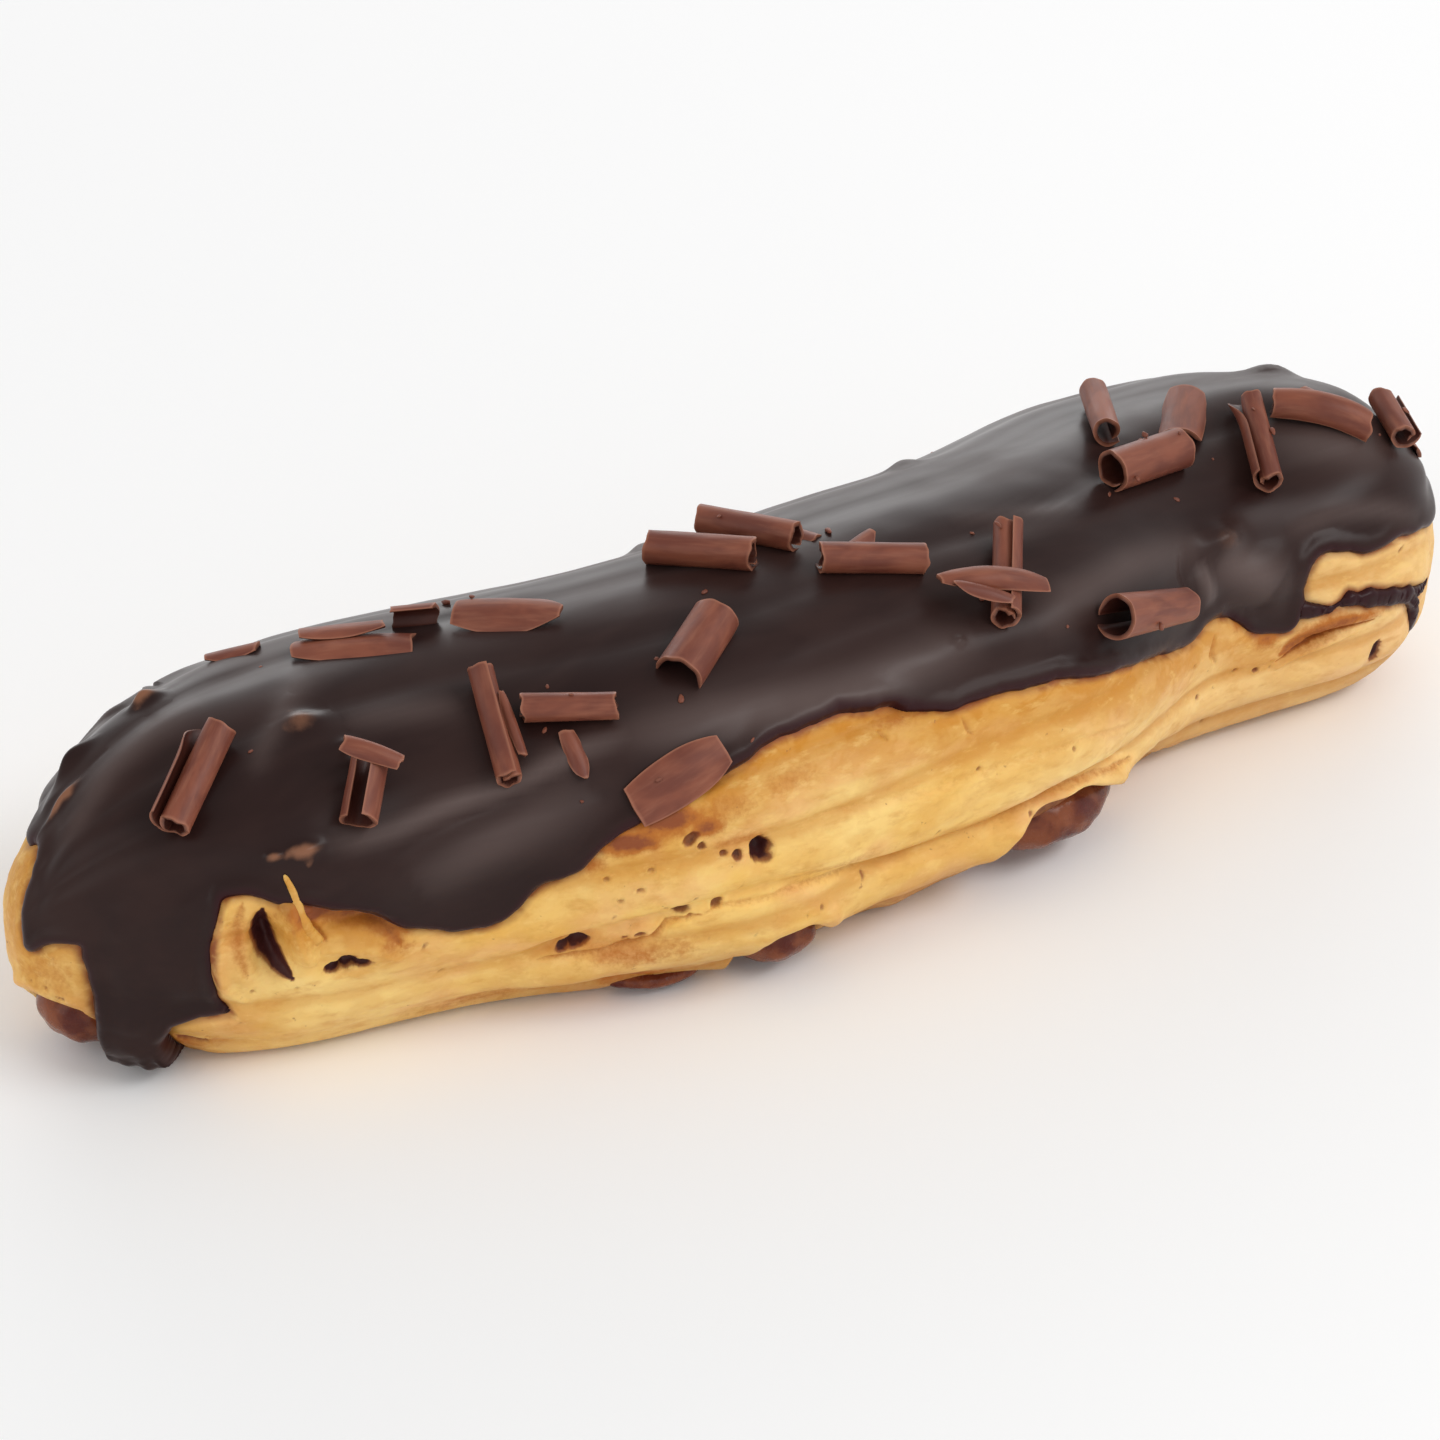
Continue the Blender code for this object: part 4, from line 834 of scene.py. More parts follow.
grainGroup = makeGrainGroup()
mottleGroup = makeMottleGroup()


def mottled(tree, vector, share, size, contrast):
    given = {"Vector": stretched(tree, vector, share), "Size mm": size, "Contrast": contrast}
    return addNode(tree, "Group", given, "Mask", node_tree=mottleGroup)


def grained(tree, vector, size, flecks):
    # height of the grain, and its flecks
    given = {"Vector": vector, "Size mm": size, "Fleck share": flecks}
    height = addNode(tree, "Group", given, "Height", node_tree=grainGroup)
    return height, height.node.outputs["Flecks"]


def makeMaterial(name, finish, look):
    # a Principled material: the look's plain values on its own sockets, and the finish's colour,
    # roughness and normal
    material = bpy.data.materials.new(name)
    material.use_nodes = True
    tree = material.node_tree
    shader = tree.nodes["Principled BSDF"]
    for label, value in look["shader"].items():
        shader.inputs[label].default_value = value
    for label, socket in zip(("Base Color", "Roughness", "Normal"), finish(tree, look)):
        plug(tree, socket, shader.inputs[label])
    return material


chouxLook = {
    "pale": (0.92, 0.645, 0.228),
    "gold": (0.84, 0.495, 0.112),
    "rosy": (0.85, 0.485, 0.19),
    "peach": (0.92, 0.66, 0.36),
    "peachSpan": (-5 * mm, 50 * mm),
    # deep gold: a tone of the choux, and also painted shade in the grooves between the piped lobes
    "deepGoldAndShade": (0.59, 0.25, 0.034),
    "orange": (0.58, 0.225, 0.008),
    "tan": (0.4, 0.165, 0.04),
    # a darker brown band on the choux just under the icing's edge, and how far it reaches
    "underEdgeBrown": (0.26, 0.06, 0.014),
    # scorched and toasted browns: real toasting, and also brown painted shade in creases, pits and openings
    "scorchedAndShade": (0.46, 0.145, 0.014),
    "toastedAndShade": (0.22, 0.048, 0.014),
    "fleck": (0.3, 0.1, 0.03),
    # painted shade deep in pits, grooves, pores and openings
    "hollowShade": (0.058, 0.011, 0.01),
    "underEdgeWidth": -0.7,
    # how strongly painted shade darkens the grooves between lobes
    "lobeGrooveShadeStrength": 0.55,
    "fleckShare": 0.45,
    "shader": {"Specular IOR Level": 0.35, "Subsurface Weight": 0.12, "Subsurface Radius": (1, 0.45, 0.18),
               "Subsurface Scale": 1.2 * mm},
}


def chouxFinish(tree, look):
    spot = objectPlace(tree)
    wide = mottled(tree, spot, 0.5, 9, 1)
    narrow = mottled(tree, spot, 0.6, 2.4, 1.4)
    grain, flecks = grained(tree, spot, 0.7, look["fleckShare"])
    fibre = noiseTexture(tree, stretched(tree, spot, 0.42), 800, 4, 0.62)
    patch = noiseTexture(tree, stretched(tree, spot, 0.6), 170, 2, 0.5)
    lengthways = addNode(tree, "SeparateXYZ", {0: spot}, "X")
    # toast: real toasting and brown painted shade along creases; dark: painted shade in the hollows
    toastAndShade = compute(tree, "ADD", field(tree, "toastAndShade"), spread(tree, grain, 0.3, 0.7, -0.1, 0.1))
    dark = compute(tree, "ADD", field(tree, "dark"), spread(tree, grain, 0.3, 0.7, -0.06, 0.06))
    nearEdge = spread(tree, field(tree, "reach"), look["underEdgeWidth"], 0.1)
    colour = layered(tree, look, "pale", (
        (wide, "gold"),
        (spread(tree, patch, 0.5, 0.68, 0, 0.75), "rosy"),
        (spread(tree, lengthways, *look["peachSpan"], 0, 0.42), "peach"),
        # painted shade in the grooves between lobes
        (times(tree, field(tree, "lobeGrooveShade"), look["lobeGrooveShadeStrength"]), "deepGoldAndShade"),
        (field(tree, "foot"), "tan"),
        (times(tree, field(tree, "golden"), spread(tree, narrow, 0, 1, 0.75)), "orange"),
        (times(tree, narrow, 0.22), "deepGoldAndShade"),
        (spread(tree, fibre, 0.48, 0.75, 0, 0.45), "deepGoldAndShade"),
        (spread(tree, fibre, 0.46, 0.28, 0, 0.35), "pale"),
        # the darker brown band just under the icing's edge
        (times(tree, nearEdge, spread(tree, narrow, 0, 1, 0.5, 0.95)), "underEdgeBrown"),
        # toasting, and brown painted shade along creases
        (spread(tree, toastAndShade, 0.05, 0.6), "scorchedAndShade"),
        (spread(tree, toastAndShade, 0.55, 1, 0, 0.85), "toastedAndShade"),
        (times(tree, flecks, 0.55), "fleck"),
        # painted shade in pits, grooves, pores and openings, brown and then near black
        (spread(tree, dark, 0.08, 0.5, 0, 0.85), "toastedAndShade"),
        (spread(tree, dark, 0.5, 0.85), "hollowShade"),
    ))
    normal = bumpNormal(tree, fibre, 0.5, 0.14, bumpNormal(tree, grain, 0.5, 0.12))
    return colour, spread(tree, grain, 0.3, 0.7, 0.48, 0.66), bumpNormal(tree, narrow, 0.25, 0.15, normal)


icingLook = {
    "base": (0.0205, 0.0084, 0.0074),
    "browner": (0.031, 0.0135, 0.0112),
    # painted sheen: a lighter colour along the ridge streaks that stands in for their reflection
    "paintedSheen": (0.155, 0.112, 0.102),
    # rim: painted shade of the lip's underside, a dark red line along the icing's edge
    "rim": (0.028, 0.005, 0.007),
    "milk": (0.24, 0.105, 0.058),
    # width in mm of that painted lip shade
    "lipShadeWidth": 1.1,
    "roughness": (0.28, 0.38),
    "shader": {"Specular IOR Level": 0.17, "Sheen Weight": 0.12, "Sheen Roughness": 0.3,
               "Sheen Tint": (0.95, 0.88, 0.86, 1)},
}


def icingFinish(tree, look):
    spot = objectPlace(tree)
    wide = mottled(tree, spot, 0.35, 7, 0.9)
    grain, _ = grained(tree, spot, 1.1, 0.15)
    milk = compute(tree, "ADD", field(tree, "milk"), times(tree, grain, 0.3))
    colour = layered(tree, look, "base", (
        (wide, "browner"),
        # painted sheen along the streaks
        (field(tree, "paintedSheen"), "paintedSheen"),
        # painted shade along the icing's lip
        (spread(tree, field(tree, "edge"), look["lipShadeWidth"], 0.2), "rim"),
        (spread(tree, milk, 0.35, 1.05), "milk"),
    ))
    ripples = noiseTexture(tree, stretched(tree, spot, 0.5), 250, 1, 0.4)
    normal = bumpNormal(tree, ripples, 0.35, 0.15, bumpNormal(tree, grain, 0.1, 0.05))
    return colour, spread(tree, wide, 0, 1, *look["roughness"]), normal


fillingLook = {
    "dark": (0.095, 0.015, 0.008),
    "caramel": (0.22, 0.062, 0.024),
    "nut": (0.38, 0.14, 0.06),
    "shader": {"Specular IOR Level": 0.22, "Coat Weight": 0.08, "Coat Roughness": 0.15},
}


def fillingFinish(tree, look):
    spot = objectPlace(tree)
    grain, flecks = grained(tree, spot, 0.9, 0.35)
    layers = (mottled(tree, spot, 1, 4, 1.3), "caramel"), (times(tree, flecks, 0.6), "nut")
    colour = layered(tree, look, "dark", layers)
    return colour, spread(tree, grain, 0.3, 0.7, 0.16, 0.34), bumpNormal(tree, grain, 0.35, 0.12)


curlLook = {
    "base": (0.15, 0.04, 0.024),
    "warm": (0.235, 0.07, 0.038),
    # pale: paler streaks of the chocolate, and painted light along the thin edges
    "pale": (0.35, 0.14, 0.082),
    # inner: painted shade on the inside of each roll
    "inner": (0.036, 0.007, 0.005),
    "shader": {"Specular IOR Level": 0.3, "Subsurface Weight": 0.05, "Subsurface Radius": (1, 0.4, 0.25),
               "Subsurface Scale": 0.5 * mm},
}


def curlFinish(tree, look):
    flat = [times(tree, field(tree, name), mm) for name in ("along", "around", "which")]
    spot = addNode(tree, "CombineXYZ", dict(enumerate(flat)), 0)
    drag = noiseTexture(tree, stretched(tree, spot, 0.16), 1300, 3, 0.55)
    grain, _ = grained(tree, spot, 0.5, 0.2)
    colour = layered(tree, look, "base", (
        (mottled(tree, spot, 0.5, 3, 1), "warm"),
        (spread(tree, drag, 0.45, 0.8, 0, 0.4), "pale"),
        # painted light along the thin edges
        (spread(tree, field(tree, "rim"), 0.2, 1, 0, 0.75), "pale"),
        # painted shade inside the roll; on crumbs the same field gives a random darker tone
        (times(tree, field(tree, "inner"), 0.85), "inner"),
    ))
    normal = bumpNormal(tree, grain, 0.15, 0.04, bumpNormal(tree, drag, 0.25, 0.06))
    return colour, spread(tree, drag, 0.3, 0.7, 0.4, 0.56), normal


chouxMaterial = makeMaterial("bakedChoux", chouxFinish, chouxLook)
icingMaterial = makeMaterial("darkIcing", icingFinish, icingLook)
fillingMaterial = makeMaterial("hazelnutFilling", fillingFinish, fillingLook)
curlMaterial = makeMaterial("milkChocolateCurl", curlFinish, curlLook)
print("materials made")

chouxShell = buildChoux(chouxMaterial)


# Icing

icing = {
    "cell": 0.72 * mm / fineness,
    "netRadius": 17.5 * mm,
    "edgeBand": 1.6 * mm,          # the net is three times as fine this near the edge
    "edgeCuts": 2,
    "keptCells": 2.5,
    "sink": 0.35 * mm,             # its underside lies this far in the choux
    "lowest": 0.06 * mm,
    "lipHeight": 1.2 * mm,
    "lipWidth": 1.3 * mm,
    "fullRise": 0.7 * mm,
    "fullWidth": 4 * mm,
    # as rows of waves
    "ripples": ((0.3, 16, 2, 0), (0.2, 8, 3, 5), (0.05, 2.6, 1.6, 5)),
    "patchy": ((1, 1.3, 1, 51), (0.5, 0.6, 1, 57)),
    "lobeHeight": 0.3 * mm,
    "lobeMean": 0.64,
    # the pool where the tongue meets the plate. mm: place round the side, half length, height, bulge
    "pool": (-73.4, 4.4, 12, 3.1),
    # mm: place round the side, half length and bulge of the runs that end it
    "runs": ((-77, 1, 0.9), (-74.8, 0.8, 0.5), (-72.6, 0.8, 0.8), (-70.4, 0.8, 0.6)),
    "runHeight": 4.5 * mm,
    # lumps that it covers. mm: place along; degrees: turn; mm: half length, half width, height;
    # and how much milk chocolate shows
    "lumps": (
        (-48.3, 13.7, 1.8, 1.3, 0.7, 0.6), (-46.1, 26.5, 1.1, 0.9, 0.5, 0.3), (44.4, 51.8, 2.4, 2, 1.6, 0.4),
        (-55.8, 55.1, 0.7, 0.6, 0.6, 0.9), (-53.3, 55.5, 1.4, 0.9, 0.8, 1), (9.5, 43.8, 0.6, 0.5, 0.4, 0.2),
        (-38, 66, 9, 3.6, 0.7, 0), (48, 66, 4, 3.2, 0.8, 0), (64.2, -15, 2.3, 1.7, 1.1, 0),
        (-57.2, -21, 1.3, 0.9, 1, 1.1), (-68, -9, 1.7, 1, 0.5, 1.2), (-65, -24, 1.8, 1.3, 0.9, 0),
        (22, -34, 1.8, 1.5, 0.8, 0.3), (-5, -50, 1.6, 1.3, 0.8, 0.4), (36, -70, 1.7, 1.2, 0.8, 0.3),
    ),
    # soft ridges and creases. mm: half width, height (negative sinks); strength of its painted sheen;
    # and the points that it runs through, mm along and degrees of turn
    "streaks": (
        (1.2, 0.3, 0.6, ((-51.5, 54.6), (-48.6, 56.4), (-45.3, 55.6), (-41, 53.1), (-36.9, 51.8),
         (-32.3, 48.4), (-27.6, 43), (-22.1, 40.1))),
        (2.6, 0.3, 0.55, ((-25, 41), (-15.9, 40.6), (-8.5, 44.3), (-1.4, 47.3), (5.5, 46.1), (12.1, 42.8))),
        (2.6, 0.2, 0.4, ((-45, 74), (-39.1, 67.2), (-33.6, 62), (-28, 55))),
        (0.9, -0.35, 0, ((-47, 65), (-42, 61), (-37, 57.5), (-31, 53))),
        (1.7, 0.15, 0.35, ((-45, 18.3), (-40.5, 20.2), (-35, 22.4))),
        (1.1, 0.2, 0.3, ((-45, -1), (-48.8, 7.8), (-52.7, 18.6), (-54.6, 27))),
        (1.5, 0.2, 0.35, ((-54, -4.1), (-59.6, -3.5), (-64.3, -0.4), (-67.7, 6.6), (-70.2, 15.5))),
        (2.3, 0.25, 0.45, ((41.5, 51.6), (30.9, 43.3), (22.7, 42), (17.7, 48.5))),
        (2.6, 0.2, 0.65, ((43, 56.8), (46.1, 63.3), (49.6, 71.5))),
        (1.4, 0.12, 0.4, ((52, 54.1), (57.1, 52.6), (62, 55.9), (67.2, 64))),
        (3, 0.15, 0.45, ((54, 20), (60.1, 28), (66, 38))),
        (0.9, 0.12, 0.25, ((17, 4.6), (23.8, 10.2), (30, 17.5))),
        (0.7, -0.65, 0, ((39.1, 49), (38.8, 56), (38.9, 63), (39.2, 70.5))),
        (0.9, 0.4, 0.65, ((40.7, 56), (40.9, 60), (41.2, 66), (41.6, 71))),
        (0.6, -0.35, 0, ((43, 73.5), (45.9, 77.5), (49, 78))),
        (1.6, 0.25, 0.3, ((-30, -46), (-15, -52), (2, -48), (18, -50))),
        (2.2, 0.25, 0.35, ((30, -56), (44, -50), (58, -54))),
        (1.3, 0.2, 0.3, ((-62, -38), (-54, -48), (-44, -50))),
    ),
    "arc": np.radians(1) * 20,     # mm of surface for each degree of turn
}


def nearIcingDetail(points):
    # whether each point is close to the icing's edge or to a small lump
    close = np.abs(icingReach(points)) < icing["edgeBand"]
    for spot, level, long, *rest in icing["lumps"]:
        if long < 2:
            middle = bodySurface(np.array([spot * mm]), np.radians([level]))[0]
            close |= np.linalg.norm(points - middle, axis=1) < (1.6 * long + 0.4) * mm
    return close


def cutAlongEdge(triangles, reach, fields):
    # keeps the iced part of each triangle; every field gets a row for each new corner, and the new
    # corners are numbered from len(reach)
    inside = reach[triangles] > 0
    corners, rows, made = {}, [], []

    def crossing(a, b):
        key = (min(a, b), max(a, b))
        if key not in corners:
            corners[key] = len(reach) + len(corners)
            share = reach[key[0]] / (reach[key[0]] - reach[key[1]])
            rows.append((*key, min(max(share, 0.04), 0.96)))
        return corners[key]

    for triangle in triangles[inside.any(axis=1) & ~inside.all(axis=1)].tolist():
        outline = []
        for a, b in zip(triangle, triangle[1:] + triangle[:1]):
            if reach[a] > 0:
                outline.append(a)
            if (reach[a] > 0) != (reach[b] > 0):
                outline.append(crossing(a, b))
        made += [(outline[0], outline[i], outline[i + 1]) for i in range(1, len(outline) - 1)]
    first, second = np.array([row[:2] for row in rows]).T
    share = np.array([row[2] for row in rows])
    grown = [np.concatenate([f, (f[first].T * (1 - share) + f[second].T * share).T]) for f in fields]
    return np.concatenate([triangles[inside.all(axis=1)], np.array(made)]), grown


def icingRelief(points, turn, inward):
    # bulges of the icing's upper skin, how much milk chocolate shows there and how much painted sheen lies on it
    place, height = sidePlace(points), points[:, 2]
    relief = mm * waves(points, icing["ripples"])
    lobes = np.abs(np.cos(turn * choux["nozzlePoints"] / 2)) - icing["lobeMean"]
    relief += icing["lobeHeight"] * lobes * ease(inward / icing["fullWidth"])
    at, halfLength, top, bulge = np.array(icing["pool"]) * mm
    relief += bulge * np.exp(-((place - at) / halfLength) ** 4) * ease(1 - height / top)
    for at, halfLength, bulge in np.array(icing["runs"]) * mm:
        relief += bulge * np.exp(-((place - at) / halfLength) ** 2) * ease(1 - height / icing["runHeight"])
    milk, paintedSheen = np.zeros(len(points)), np.zeros(len(points))
    x, angle, arc = points[:, 0] / mm, np.degrees(turn), icing["arc"]
    uneven = waves(points, icing["patchy"])
    for spot, level, long, wide, high, share in icing["lumps"]:
        away = oval(x, angle, spot, level, long, wide / arc)
        relief += high * mm * np.exp(-away)
        milk = np.maximum(milk, share * np.exp(-away * (1 + 0.7 * uneven)))
    for halfWidth, high, sheenShare, knots in icing["streaks"]:
        gap, taper = strokeGap(x * mm, angle * arc * mm, [(spot, level * arc) for spot, level in knots], 0.02)
        fade = taper * np.exp(-(gap / (halfWidth * mm)) ** 2)
        relief += high * mm * fade
        # painted sheen along the streak
        paintedSheen = np.maximum(paintedSheen, sheenShare * fade)
    return relief, milk, paintedSheen


def buildIcing(material):
    steps = int(2 * math.pi * icing["netRadius"] / icing["cell"])
    points, turn, triangles = tubeNet(
        icing["cell"], np.arange(steps) * 2 * math.pi / steps, nearIcingDetail, icing["edgeCuts"],
        lambda spots: icingReach(spots) > -icing["keptCells"] * icing["cell"])
    reach = icingReach(points)
    outward = netNormals(points, triangles)
    step = 0.05 * mm * np.eye(3)
    towards = np.stack([icingReach(points + axis) - reach for axis in step], axis=1)
    towards = unit(towards - outward * (towards * outward).sum(axis=1, keepdims=True))
    circle = np.stack([np.cos(turn), np.sin(turn)], axis=1)
    triangles, grown = cutAlongEdge(triangles, reach, (points, outward, towards, circle))
    edgeStart = len(reach)
    points, outward, towards, circle = grown
    outward, towards, turn = unit(outward), unit(towards), np.arctan2(circle[:, 1], circle[:, 0])
    reach = np.concatenate([reach, np.zeros(len(points) - edgeStart)])

    # the under skin lies in the choux's bed, and the upper one rounds over to meet it at the edge
    width = icing["lipWidth"]
    lean = np.clip(reach / width, 0, 1) * math.pi / 2
    inward = np.where(reach < width, width * (1 - np.cos(lean)), reach)
    moved = points + towards * (inward - reach)[:, None] * (reach >= 0)[:, None]
    covered = bedShare(inward)
    rise = bigRelief(moved, turn) * (1 - covered) - (choux["bed"] + sag(moved, turn)) * covered
    under = moved + outward * (rise - icing["sink"])[:, None]
    under[:, 2] = np.maximum(under[:, 2], icing["lowest"])
    relief, milk, paintedSheen = icingRelief(moved, turn, inward)
    thick = (icing["sink"] + icing["lipHeight"] + relief) * np.sin(lean) + icing["fullRise"] * ease(
        inward / icing["fullWidth"])
    sideways = unit(outward + np.array([0, 0, 1]) * np.maximum(-outward[:, 2:], 0))
    over = under + sideways * np.maximum(thick, 0)[:, None]

    # both skins share their rim
    used = np.unique(triangles)
    inner, rim = used[used < edgeStart], used[used >= edgeStart]
    number = np.zeros((2, len(points)), int)
    number[:, inner] = np.arange(2 * len(inner)).reshape(2, -1)
    number[:, rim] = 2 * len(inner) + np.arange(len(rim))
    skin = np.concatenate([over[inner], under[inner], under[rim]])
    faces = np.concatenate([number[0][triangles], number[1][triangles][:, ::-1]])
    both = np.concatenate([inner, inner, rim])
    # the last field is the painted sheen along the streaks
    fields = {"edge": inward[both] / mm, "milk": milk[both], "paintedSheen": paintedSheen[both]}
    piece = makePiece("icingCoat", skin, faces, material, fields)
    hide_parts("icing")
    return BVHTree.FromPolygons(over.tolist(), triangles.tolist())


icingSkin = buildIcing(icingMaterial)


# Filling

filling = {
    "voxel": 0.5 * mm / fineness,
    # mm: place along the eclair, radius of the core
    "core": ((-64, 1.5), (-40, 7), (0, 7.5), (36, 6.6), (60, 1.5)),
    "coreRings": 60,
    "coreSides": 40,
    "coreHeight": 10.5 * mm,
    "coreFlatness": 0.8,
    "linkReach": 52 * mm,
    "linkStart": 2.6 * mm,
    "linkEndShare": 0.8,
    "lowest": 0.15 * mm,
    "smoothing": 4,
    "folds": ((0.42, 3.6, 1, 17), (0.16, 1.3, 1, 17)),     # mm, as rows of waves
}


def oozeInto(net, x, y, z, long, wide, high, heading):
    # one spot where it oozes out, with the branch from the core that feeds it
    end = Vector((x, y, z))
    startX = max(-filling["linkReach"], min(filling["linkReach"], x))
    start = Vector((startX, bodyShape(1, np.array([startX]))[0], filling["coreHeight"]))
    run = end - start
    link = bmesh.ops.create_cone(net, cap_ends=True, segments=24, depth=run.length, radius1=filling["linkStart"],
                                 radius2=high * filling["linkEndShare"])["verts"]
    turn = run.to_track_quat("Z", "Y").to_matrix().to_4x4()
    bmesh.ops.transform(net, matrix=Matrix.Translation((start + end) / 2) @ turn, verts=link)
    ball = bmesh.ops.create_uvsphere(net, u_segments=40, v_segments=24, radius=1)["verts"]
    bmesh.ops.scale(net, vec=(long, wide, high), verts=ball)
    bmesh.ops.rotate(net, cent=(0, 0, 0), matrix=Matrix.Rotation(heading, 3, "Z"), verts=ball)
    bmesh.ops.translate(net, vec=end, verts=ball)


def buildFilling(material):
    net = bmesh.new()
    table = np.array(filling["core"]) * mm
    places = np.linspace(table[0, 0], table[-1, 0], filling["coreRings"])
    rings = []
    for x, y, radius in zip(places, bodyShape(1, places), np.interp(places, *table.T)):
        ring = bmesh.ops.create_circle(net, cap_ends=False, segments=filling["coreSides"], radius=1)["verts"]
        for vert in ring:
            side, up = vert.co.x * radius, vert.co.y * radius * filling["coreFlatness"]
            vert.co = (x, y + side, filling["coreHeight"] + up)
        rings.append(ring)
    for near, far in zip(rings, rings[1:]):
        for i in range(filling["coreSides"]):
            net.faces.new((near[i - 1], near[i], far[i], far[i - 1]))
    net.faces.new(rings[0])
    net.faces.new(rings[-1][::-1])
    for *spot, heading in fillingSpots:
        oozeInto(net, *(value * mm for value in spot), math.radians(heading))
    bmesh.ops.recalc_face_normals(net, faces=net.faces)
    mesh = bpy.data.meshes.new("fillingRough")
    net.to_mesh(mesh)
    net.free()
    rough = bpy.data.objects.new("fillingRough", mesh)
    bpy.context.scene.collection.objects.link(rough)
    remesh = rough.modifiers.new("remesh", "REMESH")
    remesh.mode = "VOXEL"
    remesh.voxel_size = filling["voxel"]
    rough.modifiers.new("smooth", "SMOOTH").iterations = filling["smoothing"]
    even = rough.evaluated_get(bpy.context.evaluated_depsgraph_get()).to_mesh()
    points, outward = (np.array([getattr(v, part)[:] for v in even.vertices]) for part in ("co", "normal"))
    faces = [list(p.vertices) for p in even.polygons]
    bpy.data.objects.remove(rough, do_unlink=True)
    for row in filling["folds"]:
        points = points + outward * (mm * waves(points, [row]))[:, None]
    points[:, 2] = np.maximum(points[:, 2], filling["lowest"])
    piece = makePiece("fillingCream", points, faces, material, {})
    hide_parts("filling")


buildFilling(fillingMaterial)


# Curls, and the small shavings between them

